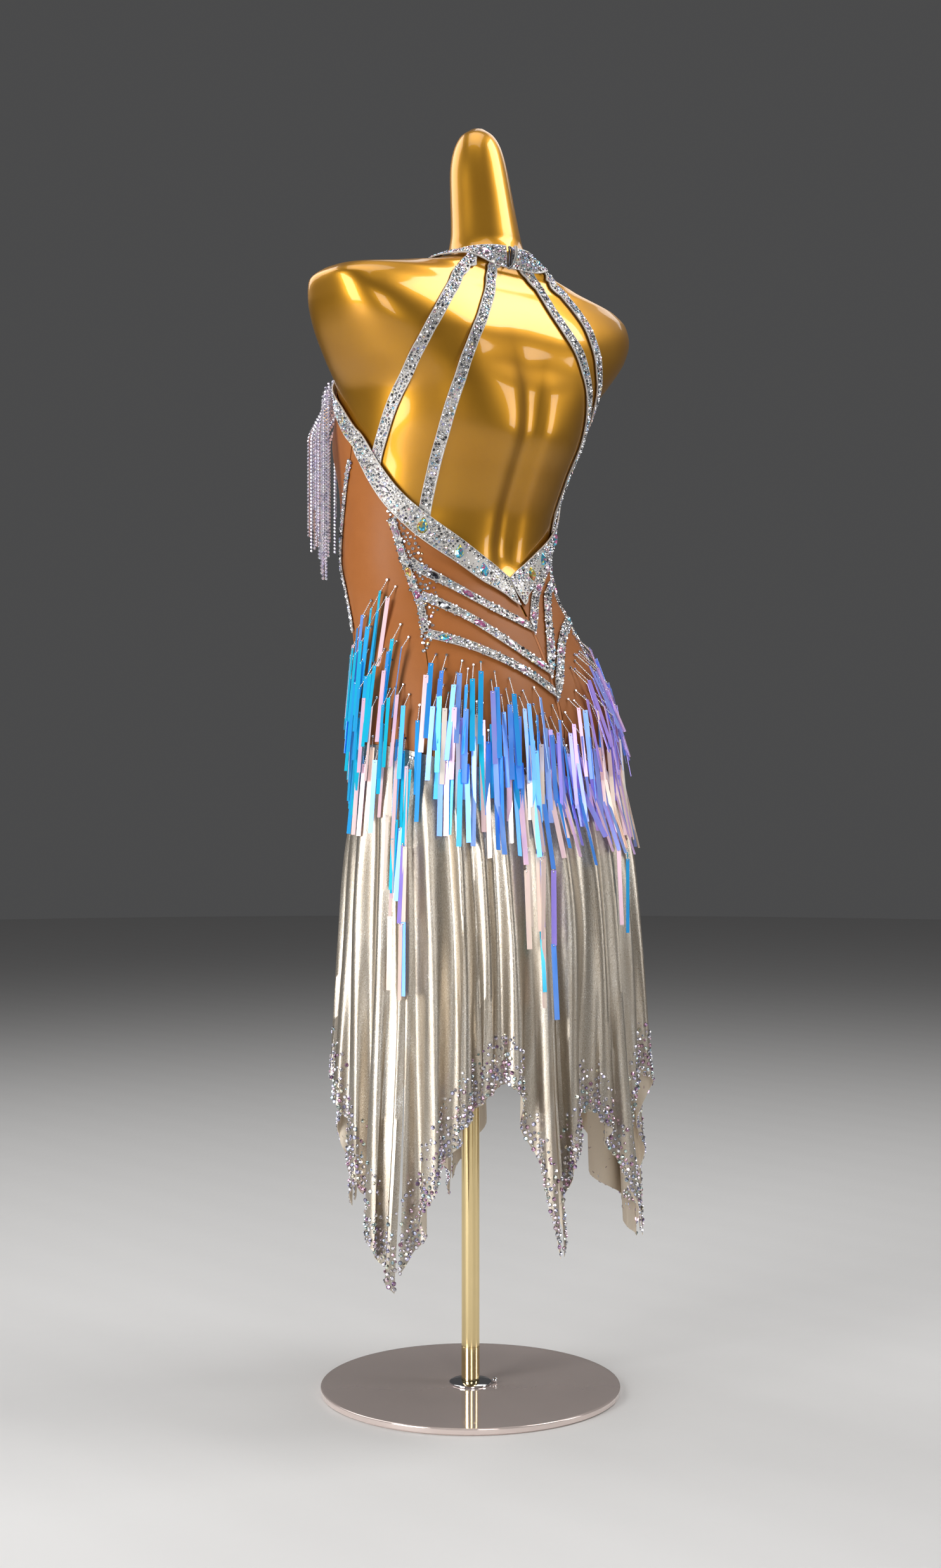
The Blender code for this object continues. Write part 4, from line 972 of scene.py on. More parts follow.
def line(points: Sequence[LinePoint]) -> Callable[[Array], Array]:
    """The angle of a line as a function of height."""
    return smooth_curve([p.z for p in points], [p.angle for p in points])


class Side(Enum):
    """A side of the body, with the sign of its mirror."""

    LEFT = "left"
    RIGHT = "right"


def mirrored(points: Array) -> Array:
    """The same points on the body's other side."""
    return points[:, ::-1] * np.array([-1, 1, 1])


@dataclass
class Bodice:
    """The five panels of tan mesh, which leave room for the zip, and the loose stones on the back panels."""

    thickness: float = 0.9 * MM
    front_gap: float = 1.7 * MM
    seam_half_angle: float = 0.25
    back_middle: float = 90.0
    zip_clear_angle: float = 0.75
    open_back_low: float = 0.925
    band_inset: float = 0.008
    back_top: float = 1.058
    side_top: float = 1.108
    front_top: float = 1.314
    rows: int = 64
    columns: int = 44
    side_back: Callable = field(default_factory=lambda: line(SIDE_BACK_SEAM))
    side_front: Callable = field(default_factory=lambda: line(SIDE_FRONT_SEAM))
    armhole: Callable = field(default_factory=lambda: line(ARMHOLE))
    neckline: Callable = field(default_factory=lambda: line(NECKLINE[1:]))

    def back_edge(self, z: float) -> float:
        """The free edge of a back panel: the zip, then the slanted edge of the open back."""
        if z < self.open_back_low:
            return self.back_middle - self.zip_clear_angle
        open_edge = float(self.neckline(max(z + self.band_inset, NECKLINE[1].z)))
        return min(self.back_middle - self.zip_clear_angle, open_edge)

    def side_edge(self, z: float) -> float:
        """The back edge of a side panel: the seam, then the edge of the open back."""
        seam = float(self.side_back(z)) - self.seam_half_angle
        if z <= self.back_top:
            return seam
        return min(seam, float(self.neckline(z + self.band_inset)) - self.seam_half_angle)

    def front_edge(self, z: float) -> float:
        """The front panel's edge on its left side: the seam, then the armhole."""
        curve = self.side_front if z < ARMHOLE[0].z else self.armhole
        return float(curve(z)) - self.seam_half_angle

    def panel(self, low: Callable, high: Callable, top: float, gap: float) -> Patch:
        """The outer face of a panel between two lines, from the hip seam up to a height."""
        share = np.linspace(0, 1, self.columns)
        rows = []
        for z in np.linspace(HIP_SEAM_SIDE, top, self.rows):
            angles = blend(low(z), high(z), share)
            rows.append(SHAPE.surface(angles, SHAPE.ring_heights(angles, np.full_like(angles, z)),
                                      gap + self.thickness))
        return Patch(np.array(rows))

    def build(self, dresser: Dresser) -> None:
        """Makes and places the panels."""
        half = self.seam_half_angle
        back = self.panel(lambda z: float(self.side_back(z)) + half, self.back_edge, self.back_top, CLOTH_GAP)
        side = self.panel(lambda z: float(self.side_front(z)) + half, self.side_edge, self.side_top, CLOTH_GAP)
        front = self.panel(lambda z: -180 - self.front_edge(z), self.front_edge, self.front_top, self.front_gap)
        for name, patch in (
            ("bodice_back_left", back), ("bodice_back_right", Patch(mirrored(back.points))),
            ("bodice_side_left", side), ("bodice_side_right", Patch(mirrored(side.points))),
            ("bodice_front", front),
        ):
            piece = patch.shell(name + "_cloth", self.thickness, TAN)
            dresser.place(piece, TAN, name)
            on_it = [self.scattered(Side(name.split("_")[-1]))] if "bodice_back" in name else []
            for stones in on_it:
                dresser.place(stones, STONES)
            min(patch.area, patch.width * patch.length)

    def scattered(self, side: Side) -> bpy.types.Object:
        """Sets loose stones beside the side-back seam, closest at the seam and between the chevrons' ends."""
        angles, heights = np.linspace(20, 50, 31), np.linspace(0.866, 1.034, 61)
        grid = SHAPE.surface(angles[None], heights[:, None], CLOTH_GAP + self.thickness)
        low, high = line(SCATTER_START), line(SCATTER_END)
        right = side is Side.RIGHT
        patch = Patch(mirrored(grid) if right else grid)
        stones = Stones(71 + right)

        def wanted(u: Array, v: Array) -> Array:
            angle = blend(angles[0], angles[-1], u)
            z = blend(heights[0], heights[-1], 1 - v if right else v)
            share = (angle - low(z)) / (high(z) - low(z))
            return np.where((share > 0) & (share < 1), 0.95 * np.exp(-((share / 0.62) ** 2)) + 0.04, 0)

        def tints(points: Array) -> Array:
            return np.where(stones.random.uniform(0, 1, len(points)) < 0.16,
                            stones.random.uniform(0.68, 1.0, len(points)), stones.random.uniform(0.2, 0.6, len(points)))

        stones.fill(patch, [(2.5 * MM, 1500), (2.0 * MM, 1500), (1.5 * MM, 1200)], tints, wanted)
        return stones.build(f"loose_stones_{side.value}", STONES)


# ---------------------------------------------------------------- copies of a template
class Placing(NamedTuple):
    """Where copies of a template go: points, how they are turned, their sizes and their tints."""

    points: Array
    turns: Array
    sizes: Array
    tints: Array


def euler_turns(side: Array, out: Array) -> Array:
    """Euler angles that turn X to side and Z to out.

    Args:
        side: where X goes.
        out: where Z goes, which is kept.

    Returns:
        XYZ angles, a row for each pair.
    """
    z = unit(out)
    y = unit(np.cross(z, side))
    x = np.cross(y, z)
    pitch = np.arcsin(np.clip(-x[:, 2], -1, 1))
    roll = np.arctan2(y[:, 2], z[:, 2])
    yaw = np.arctan2(x[:, 1], x[:, 0])
    return np.stack([roll, pitch, yaw], axis=1)


def repeat_tree() -> bpy.types.NodeTree:
    """The geometry tree that copies a template to points. It is made once.

    Its inputs are the points, the template, the material, a size, how unevenly sizes vary and a seed.
    The points' attributes turn, size and tint place each copy.
    """
    name = "repeat_on_points"
    if name in bpy.data.node_groups:
        return bpy.data.node_groups[name]
    tree = bpy.data.node_groups.new(name, "GeometryNodeTree")
    face = tree.interface
    face.new_socket("Points", in_out="INPUT", socket_type="NodeSocketGeometry")
    for label, kind in (("Template", "NodeSocketObject"), ("Finish", "NodeSocketMaterial"),
                        ("Size", "NodeSocketFloat"), ("Unevenness", "NodeSocketFloat"), ("Seed", "NodeSocketInt")):
        face.new_socket(label, in_out="INPUT", socket_type=kind)
    face.new_socket("Pieces", in_out="OUTPUT", socket_type="NodeSocketGeometry")
    recipe = Recipe(tree)
    given = tree.nodes.new("NodeGroupInput")
    inputs = {s.name: Signal(recipe, s) for s in given.outputs if s.name}
    shape = recipe.node("GeometryNodeObjectInfo", {}, {"Object": inputs["Template"], "As Instance": True}, "Geometry")
    turn = recipe.node("GeometryNodeInputNamedAttribute", {"data_type": "FLOAT_VECTOR"}, {"Name": "turn"})
    turn = recipe.node("FunctionNodeEulerToRotation", {}, {0: turn})
    size = recipe.node("GeometryNodeInputNamedAttribute", {"data_type": "FLOAT_VECTOR"}, {"Name": "size"})
    uneven = recipe.node("FunctionNodeRandomValue", {"data_type": "FLOAT"}, {
        "Seed": inputs["Seed"], 2: 1 - inputs["Unevenness"], 3: 1 + inputs["Unevenness"]}, 1)
    size = recipe.node("ShaderNodeVectorMath", {"operation": "SCALE"}, {
        0: size, "Scale": uneven * inputs["Size"]})
    copies = recipe.node("GeometryNodeInstanceOnPoints", {}, {
        "Points": inputs["Points"], "Instance": shape, "Rotation": turn, "Scale": size})
    whole = recipe.node("GeometryNodeRealizeInstances", {}, {"Geometry": copies})
    dressed = recipe.node("GeometryNodeSetMaterial", {}, {"Geometry": whole, "Material": inputs["Finish"]})
    out = tree.nodes.new("NodeGroupOutput")
    tree.links.new(dressed.socket, out.inputs[0])
    return tree


def repeat(name: str, template: bpy.types.Object, placing: Placing, finish: Finish, unevenness: float = 0.0,
           seed: int = 1) -> bpy.types.Object:
    """Copies a template to many places as one plain mesh.

    Args:
        name: the piece's name.
        template: the object that is copied.
        placing: where the copies go.
        finish: their finish.
        unevenness: how much their sizes vary.
        seed: the seed of that variation.

    Returns:
        The object.
    """
    cloud = bpy.data.meshes.new(name + "_points")
    cloud.from_pydata(placing.points.tolist(), [], [])
    for label, kind, values in (("turn", "FLOAT_VECTOR", placing.turns), ("size", "FLOAT_VECTOR", placing.sizes),
                                ("tint", "FLOAT", placing.tints)):
        layer = cloud.attributes.new(label, kind, "POINT")
        layer.data.foreach_set("vector" if kind == "FLOAT_VECTOR" else "value", np.asarray(values, float).ravel())
    holder = bpy.data.objects.new(name + "_points", cloud)
    bpy.context.scene.collection.objects.link(holder)
    tree = repeat_tree()
    modifier = holder.modifiers.new("repeat", "NODES")
    modifier.node_group = tree
    sockets = {s.name: s.identifier for s in tree.interface.items_tree if s.in_out == "INPUT"}
    for label, value in (("Template", template), ("Finish", finish.build()), ("Size", 1.0),
                         ("Unevenness", unevenness), ("Seed", seed)):
        modifier[sockets[label]] = value
    graph = bpy.context.evaluated_depsgraph_get()
    mesh = bpy.data.meshes.new_from_object(holder.evaluated_get(graph), depsgraph=graph)
    mesh.name = name
    for label in ("turn", "size"):
        if label in mesh.attributes:
            mesh.attributes.remove(mesh.attributes[label])
    holder.modifiers.remove(modifier)
    bpy.data.objects.remove(holder)
    made = bpy.data.objects.new(name, mesh)
    bpy.context.scene.collection.objects.link(made)
    return made


# ---------------------------------------------------------------- stones
def gem(name: str, outline: Array, table: float, finish: Finish) -> bpy.types.Object:
    """A cut stone of height 1 with a flat back, from its outline.

    Args:
        name: the template's name.
        outline: the points round its girdle.
        table: the table's size, as a share of the outline.
        finish: its finish.

    Returns:
        The template, which lies on Z = 0.
    """
    between = (outline + np.roll(outline, -1, axis=0)) / 2 * table
    count = len(outline)
    verts = [*((x, y, 0.0) for x, y in outline), *((x, y, 1.0) for x, y in between)]
    faces = [list(range(count))[::-1], list(range(count, 2 * count))]
    for i in range(count):
        j = (i + 1) % count
        faces += [(i, j, count + i), (j, count + j, count + i)]
    return make_object(name, np.array(verts), faces, [finish], np.array(verts)[:, :2], sharp=5.0)


class Cut(Enum):
    """The cuts of the stones, with their outlines."""

    ROUND = "round"
    NAVETTE = "navette"
    DROP = "drop"
    OVAL = "oval"

    def outline(self) -> Array:
        """The girdle's points, with half lengths of 1."""
        turn = np.arange(8 if self is Cut.ROUND else 12) * 2 * math.pi / (8 if self is Cut.ROUND else 12)
        x, y = np.cos(turn), np.sin(turn)
        if self is Cut.NAVETTE:
            y = np.sign(y) * np.abs(y) ** 1.5
        if self is Cut.DROP:
            y = y * (1 - 0.55 * ramp(x, -0.4, 1.0))
        return np.stack([x, y], axis=1)


class Stones:
    """Stones set side by side on cloth, without overlaps."""

    def __init__(self, seed: int) -> None:
        """Starts with none."""
        self.random = np.random.default_rng(seed)
        self.rows: list[tuple] = []
        self.cells: dict[tuple, list[tuple]] = {}
        self.cell = 8 * MM

    def is_free(self, point: Array, radius: float) -> bool:
        """Whether a stone of this radius has room at a point."""
        home = [int(c // self.cell) for c in point]
        for x in range(home[0] - 1, home[0] + 2):
            for y in range(home[1] - 1, home[1] + 2):
                for z in range(home[2] - 1, home[2] + 2):
                    for px, py, pz, reach in self.cells.get((x, y, z), ()):
                        gap = reach + radius
                        if (px - point[0]) ** 2 + (py - point[1]) ** 2 + (pz - point[2]) ** 2 < gap * gap:
                            return False
        return True

    def keep(self, point: Array, radius: float) -> None:
        """Takes the room round a point."""
        home = tuple(int(c // self.cell) for c in point)
        self.cells.setdefault(home, []).append((*point, radius))

    def fill(self, patch: Patch, sizes: Sequence[tuple[float, int]], tints: Callable[[Array], Array],
             wanted: Callable[[Array, Array], Array] | None = None) -> None:
        """Sets round stones at random places on a patch, the large ones first.

        Args:
            patch: the face that carries them.
            sizes: pairs of a radius and the number of tries.
            tints: gives each stone's tint from its point.
            wanted: the chance, from 0 to 1, of a stone at shares of the width and height.
        """
        for radius, tries in sizes:
            u, v = self.random.uniform(0, 1, tries), self.random.uniform(0, 1, tries)
            if wanted is not None:
                chosen = self.random.uniform(0, 1, tries) < wanted(u, v)
                u, v = u[chosen], v[chosen]
            points, normals, sides = patch.at(u, v)
            shades = tints(points)
            for point, normal, side, shade in zip(points, normals, sides, shades):
                if self.is_free(point, radius):
                    self.keep(point, radius)
                    self.rows.append((point, normal, side, radius, shade))

    def ranks(self, patch: Patch, radius: float, pitch: float, tints: Callable[[Array], Array]) -> None:
        """Sets stones of one size in staggered ranks along a patch, a little unevenly."""
        across = max(1, int(patch.width / pitch)), max(1, int(patch.length / pitch))
        columns, lines = (across[0], int(across[1] * 1.12)) if across[0] < across[1] else (int(across[0] * 1.12), across[1])
        i, j = np.meshgrid(np.arange(columns), np.arange(lines), indexing="ij")
        long_ways = columns > lines
        u = (i + 0.5 + (0 if long_ways else 0.25 * (-1.0) ** j)) / columns
        v = (j + 0.5 + (0.25 * (-1.0) ** i if long_ways else 0)) / lines
        u = u.ravel() + self.random.normal(0, 0.07 * pitch / patch.width, u.size)
        v = v.ravel() + self.random.normal(0, 0.07 * pitch / patch.length, v.size)
        points, normals, sides = patch.at(u, v)
        radii = radius * self.random.uniform(0.9, 1.05, len(points))
        for point, normal, side, size, shade in zip(points, normals, sides, radii, tints(points)):
            if self.is_free(point, size * 0.85):
                self.keep(point, size)
                self.rows.append((point, normal, side, size, shade))

    def build(self, name: str, finish: Finish) -> bpy.types.Object:
        """Makes one piece of all the round stones set since the last one, each turned at random."""
        points, normals, sides, radii, tints = (np.array(c) for c in zip(*self.rows))
        self.rows = []
        turn = self.random.uniform(0, math.pi / 4, len(points))[:, None]
        spun = sides * np.cos(turn) + np.cross(normals, sides) * np.sin(turn)
        lean = self.random.normal(0, 0.19, (len(points), 3))
        sizes = np.stack([radii, radii, radii * 0.75], axis=1)
        template = gem(name + "_template", Cut.ROUND.outline(), 0.54, finish)
        made = repeat(name, template, Placing(points, euler_turns(spun, unit(normals + lean)), sizes, tints), finish)
        bpy.data.objects.remove(template)
        return made


class LargeStone(NamedTuple):
    """A large stone on a strip's middle: its place along it, cut, half sizes in millimetres, turn and tint."""

    share: float
    cut: Cut
    half_length: float
    half_width: float
    turn: float
    tint: float


LARGE_HEIGHT = 0.55


def set_large(name: str, strip: Strip, chosen: Sequence[LargeStone], stones: Stones) -> list[bpy.types.Object]:
    """Sets large stones on a strip and keeps their room.

    Args:
        name: the pieces' name, which gets the cut's name at its end.
        strip: the strip.
        chosen: the stones.
        stones: the small stones that will lie round them.

    Returns:
        One piece for each cut.
    """
    patch = strip.face(0.0)
    made = []
    for cut in Cut:
        mine = [s for s in chosen if s.cut is cut]
        if not mine:
            continue
        points, normals, along = patch.at(np.array([s.share for s in mine]), np.full(len(mine), 0.5))
        turn = np.radians([s.turn for s in mine])[:, None]
        spun = along * np.cos(turn) + np.cross(normals, along) * np.sin(turn)
        halves = [(s.half_length * MM, s.half_width * MM) for s in mine]
        sizes = np.array([(length, width, LARGE_HEIGHT * width) for length, width in halves])
        for point, way, (length, width) in zip(points, spun, halves):
            for step in (-0.62, -0.2, 0.2, 0.62):
                stones.keep(point + way * step * length, width * (1 - 0.55 * abs(step)))
        template = gem(name + "_template", cut.outline(), 0.5, LARGE)
        placing = Placing(points, euler_turns(spun, normals), sizes, np.array([s.tint for s in mine]))
        made.append(repeat(f"{name}_{cut.value}", template, placing, LARGE))
        bpy.data.objects.remove(template)
    return made


def silver_tints(random: np.random.Generator) -> Callable[[Array], Array]:
    """Tints of stones that are mostly clear, dark in one stretch and bluish near the neck."""

    def choose(points: Array) -> Array:
        count = len(points)
        tints = random.normal(0.36, 0.14, count)
        pick = random.uniform(0, 1, count)
        dark = 0.17 + 0.40 * hump(points[:, 2], 1.215, 0.035) + 0.22 * hump(points[:, 2], 1.0, 0.03)
        pearly = 0.20 + 0.45 * ramp(points[:, 2], 1.25, 1.31)
        tints = np.where(pick < dark, random.uniform(0.0, 0.16, count), tints)
        return np.where(pick > 1 - pearly, random.uniform(0.62, 1.0, count), tints)

    return choose


# ---------------------------------------------------------------- trims
class Route:
    """A line over the body, and places at a distance along it and to its side."""

    def __init__(self, points: Sequence[LinePoint]) -> None:
        """Measures the line."""
        angles = np.array([p.angle for p in points], float)
        heights = np.array([p.z for p in points], float)
        places = SHAPE.surface(angles, heights)
        self.walked = np.concatenate([[0], np.cumsum(np.linalg.norm(np.diff(places, axis=0), axis=1))])
        self.angle_at = self.softened(smooth_curve(self.walked, angles))
        self.height_at = self.softened(smooth_curve(self.walked, heights))

    def softened(self, curve: Callable, reach: float = 0.007, step: float = 1.0 * MM) -> Callable:
        """The same curve with its small waves taken out. Its ends stay."""
        count = max(3, int(self.walked[-1] / step))
        at = np.linspace(0, self.walked[-1], count)
        values = curve(at)
        pad = min(count - 1, int(3 * reach / step))
        kernel = np.exp(-0.5 * (np.arange(-pad, pad + 1) * step / reach) ** 2)
        before, after = 2 * values[0] - values[pad:0:-1], 2 * values[-1] - values[-2: -pad - 2: -1]
        soft = np.convolve(np.concatenate([before, values, after]), kernel / kernel.sum(), "valid")
        return lambda place: np.interp(place, at, soft)

    def place(self, at: Array, aside: Array, offset: Array) -> Array:
        """Points at a distance along the line, to its side and outside the form."""
        angle, z = self.angle_at(at), self.height_at(at)
        around, upward = SHAPE.slopes(angle, z)
        inner = np.clip(at, MM, self.walked[-1] - MM)
        ahead = SHAPE.surface(self.angle_at(inner + MM), self.height_at(inner + MM))
        ahead = ahead - SHAPE.surface(self.angle_at(inner - MM), self.height_at(inner - MM))
        across = unit(np.cross(np.cross(around, upward), ahead))
        aa, ab, bb = (around * around).sum(-1), (around * upward).sum(-1), (upward * upward).sum(-1)
        wa, wb = (across * around).sum(-1) * aside, (across * upward).sum(-1) * aside
        scale = aa * bb - ab * ab
        return SHAPE.surface(angle + (wa * bb - wb * ab) / scale, z + (wb * aa - wa * ab) / scale, offset)


EDGE_WIDTH = 1.5 * MM
EDGE_HEIGHT = 1.5 * MM
FLAT_HEIGHT = 0.8 * MM
# A strip's section: places across it from 0 to 1, or as a distance from an edge, and their heights.
EDGE_ROLL = ((0.0, 0.25), (0.0, 0.75), (0.22, 1.0), (0.62, 1.0), (0.95, 0.72), (1.1, 0.0))


@dataclass
class Strip:
    """A strip of cloth with two folded edges, laid along a route."""

    name: str
    route: Route
    near: tuple[float, float]
    far: tuple[float, float]
    gap: Array
    steps: int
    start: float = 0.0
    mitre: float = 0.0
    first: int = 0
    mirror: bool = False
    thickness: float = 1.5 * MM
    roll: float = EDGE_WIDTH
    bare_edge: float = 1.3 * MM

    def place(self, share: Array, across: Array, rise: Array) -> Array:
        """Points at shares of the length and of the width, and a height above the strip's underside."""
        aside_near = blend(self.near[0], self.near[1], across)
        aside_far = blend(self.far[0], self.far[1], across)
        begin = self.route.walked[self.first] + self.start - self.mitre * aside_near
        at = blend(begin, self.route.walked[-1], share)
        gap = np.interp(share, np.linspace(0, 1, np.size(self.gap)), np.atleast_1d(self.gap))
        points = self.route.place(at, blend(aside_near, aside_far, share), gap + rise)
        return points * np.array([-1, 1, 1]) if self.mirror else points

    def cloth(self, finish: Finish) -> bpy.types.Object:
        """Makes the strip with its rolled edges."""
        share = np.linspace(0, 1, self.steps)
        width = blend(self.near[1] - self.near[0], self.far[1] - self.far[0], share)
        section = []
        for out, height in EDGE_ROLL:
            rise = height * (self.thickness - FLAT_HEIGHT) + FLAT_HEIGHT * (height > 0.3 or out > 1)
            rise = max(rise, FLAT_HEIGHT) if out > 1 else rise
            section.append((out * self.roll / width, rise))
        section.append((np.full_like(share, 0.5), FLAT_HEIGHT))
        section += [(1 - across, rise) for across, rise in section[-2::-1]]
        section += [(np.ones_like(share), 0.0), (np.zeros_like(share), 0.0)]
        loops = np.array([self.place(share, across, rise) for across, rise in section])
        return loft(self.name, loops.transpose(1, 0, 2), finish, 50.0)

    def face(self, margin: float) -> Patch:
        """The flat face between the folded edges, on which stones are set."""
        share = np.linspace(0.004, 0.996, self.steps * 2)
        width = blend(self.near[1] - self.near[0], self.far[1] - self.far[0], share)
        inset = margin / width
        across = np.linspace(0, 1, 7)
        rows = [self.place(share, blend(inset, 1 - inset, a), FLAT_HEIGHT) for a in across]
        return Patch(np.array(rows))


@dataclass
class Trims:
    """The edge bands, straps, chevrons and seam trims."""

    band_width: float = 0.032
    band_end_width: float = 0.014
    band_gap: float = 4.6 * MM
    band_start: float = 0.0006
    band_mitre: float = 0.72
    strap_half: float = 0.007
    strap_gap: float = 1.7 * MM
    chevron_half: float = 0.0053
    side_half: float = 0.0038
    front_half: float = 0.003
    trim_gap: float = 3.5 * MM
    chevron_roll: float = 0.8 * MM
    chevron_bare: float = 0.2 * MM
    trim_roll: float = 0.7 * MM
    trim_bare: float = -0.6 * MM

    def strips(self) -> list[Strip]:
        """Every strip of the dress but the neckband."""
        made = []
        neckline = Route(NECKLINE)
        for side in Side:
            mirror = side is Side.RIGHT
            made.append(Strip(f"open_back_band_{side.value}", neckline, (0, self.band_width),
                              (0, self.band_end_width), self.band_gap, 150, self.band_start, self.band_mitre, 1,
                              mirror))
        for name, route in STRAPS.items():
            made.append(self.level(name, route, self.strap_half, self.strap_gap, 110))
        for arm in CHEVRON_ARMS:
            made.append(self.level(
                arm.name, arm.route, self.chevron_half, arm.gap, 60, start=arm.start, mitre=arm.mitre, first=1,
                roll=self.chevron_roll, bare_edge=self.chevron_bare))
        for side in Side:
            for name, route, half, steps in (
                ("side_back_trim", SIDE_BACK_TRIM, self.side_half, 50),
                ("side_front_trim", SIDE_FRONT_TRIM, self.front_half, 60),
            ):
                made.append(self.level(f"{name}_{side.value}", route, half, self.trim_gap, steps,
                                       roll=self.trim_roll, bare_edge=self.trim_bare))
        return made

    @staticmethod
    def level(name: str, route: Sequence[LinePoint], half: float, gap: float, steps: int, **more: float) -> Strip:
        """A strip of one width, centred on its route."""
        mirror = name.endswith(Side.RIGHT.value)
        return Strip(name, Route(route), (-half, half), (-half, half), gap, steps, mirror=mirror, **more)

    def build(self, dresser: Dresser) -> None:
        """Makes and places the strips."""
        for number, strip in enumerate(self.strips()):
            dress_strip(dresser, strip, number, LARGE_STONES.get(strip.name, ()))


def dress_strip(dresser: Dresser, strip: Strip, seed: int, large: Sequence[LargeStone]) -> None:
    """Makes a strip of cloth and sets its stones.

    Args:
        dresser: places the pieces.
        strip: the strip.
        seed: the seed of its stones.
        large: its large stones.
    """
    piece = strip.cloth(BAND_CLOTH)
    piece.name = strip.name + "_cloth"
    dresser.place(piece, BAND_CLOTH, strip.name)
    stones = Stones(seed)
    on_it = set_large(strip.name + "_large", strip, large, stones)
    face = strip.face(strip.bare_edge)
    tries = int(face.width * face.length / STONE_ROOM)
    sizes = [(radius, int(tries * share)) for radius, share in STONE_SIZES]
    tints = silver_tints(stones.random)
    if "strap" in strip.name or "band" in strip.name:
        stones.ranks(face, *RANK, tints)
        sizes = sizes[-1:]
    stones.fill(face, sizes, tints)
    on_it.append(stones.build(strip.name + "_stones", STONES))
    for extra in on_it:
        dresser.place(extra, STONES)
    cut = strip.face(0.0)
    width, length = sorted((cut.width, cut.length))
    width = max(width, LEAST_FLAT)
    min(max(cut.area, 0.31 * width * length), width * length)


LEAST_FLAT = 0.0101
STONE_ROOM = 2.2e-6
STONE_SIZES = ((2.5 * MM, 0.10), (1.9 * MM, 1.2), (1.5 * MM, 2.4), (1.1 * MM, 1.8))
RANK = (1.9 * MM, 3.8 * MM)
LARGE_STONES = {
    "open_back_band_left": table_of(LargeStone, (
        (0.085, Cut.DROP, 9.4, 6.8, -58, 0.66),
        (0.156, Cut.DROP, 9.6, 7.0, -60, 0.70),
        (0.254, Cut.DROP, 9.6, 7.0, -62, 0.84),
        (0.36, Cut.NAVETTE, 7.0, 3.2, 10, 0.25),
    )),
    "open_back_band_right": table_of(LargeStone, (
        (0.085, Cut.DROP, 9.4, 6.8, 58, 0.90),
        (0.156, Cut.DROP, 9.6, 7.0, 60, 0.72),
        (0.254, Cut.DROP, 9.6, 7.0, 62, 0.56),
        (0.36, Cut.NAVETTE, 7.0, 3.2, -10, 0.25),
    )),
    "chevron_1_left": table_of(LargeStone, (
        (0.10, Cut.NAVETTE, 8.2, 4.2, 4, 0.30),
        (0.52, Cut.NAVETTE, 8.2, 4.2, -4, 0.46),
        (0.80, Cut.NAVETTE, 8.6, 4.4, 3, 0.04),
    )),
    "chevron_2_left": table_of(LargeStone, (
        (0.07, Cut.DROP, 6.5, 3.6, 0, 0.50),
        (0.32, Cut.NAVETTE, 8.2, 4.2, -3, 0.28),
        (0.56, Cut.NAVETTE, 8.2, 4.2, 4, 0.50),
        (0.83, Cut.NAVETTE, 8.6, 4.5, -3, 0.06),
    )),
    "chevron_3_left": table_of(LargeStone, (
        (0.32, Cut.NAVETTE, 8.2, 4.2, 3, 0.28),
        (0.88, Cut.NAVETTE, 8.2, 4.2, -3, 0.68),
    )),
    "chevron_1_right": table_of(LargeStone, (
        (0.12, Cut.NAVETTE, 8.2, 4.2, -4, 0.28),
        (0.50, Cut.NAVETTE, 8.2, 4.2, 3, 0.48),
        (0.82, Cut.NAVETTE, 8.2, 4.2, -3, 0.30),
    )),
    "chevron_2_right": table_of(LargeStone, (
        (0.20, Cut.NAVETTE, 8.2, 4.2, 3, 0.32),
        (0.52, Cut.NAVETTE, 8.6, 4.4, -3, 0.26),
        (0.85, Cut.NAVETTE, 8.2, 4.2, 3, 0.08),
    )),
    "chevron_3_right": table_of(LargeStone, (
        (0.35, Cut.NAVETTE, 8.2, 4.2, -3, 0.30),
        (0.88, Cut.NAVETTE, 8.2, 4.2, 3, 0.66),
    )),
    "side_back_trim_left": table_of(LargeStone, (
        (0.10, Cut.NAVETTE, 8.2, 4.2, 4, 0.30),
        (0.27, Cut.OVAL, 5.0, 3.6, -4, 0.26),
        (0.45, Cut.DROP, 6.5, 3.8, 3, 0.96),
        (0.66, Cut.OVAL, 6.0, 3.8, -5, 0.50),
        (0.90, Cut.OVAL, 4.6, 3.4, 3, 0.30),
    )),
    "side_back_trim_right": table_of(LargeStone, (
        (0.12, Cut.NAVETTE, 8.2, 4.2, -4, 0.28),
        (0.30, Cut.OVAL, 5.0, 3.6, 4, 0.34),
        (0.50, Cut.DROP, 6.5, 3.8, -3, 0.52),
        (0.72, Cut.NAVETTE, 6.5, 3.3, 5, 0.30),
    )),
    "neckband": table_of(LargeStone, (
        (0.925, Cut.OVAL, 6.8, 4.4, 0, 0.28),
        (0.50, Cut.OVAL, 6.8, 4.4, 0, 0.30),
        (0.14, Cut.OVAL, 5.0, 3.6, 0, 0.64),
    )),
}


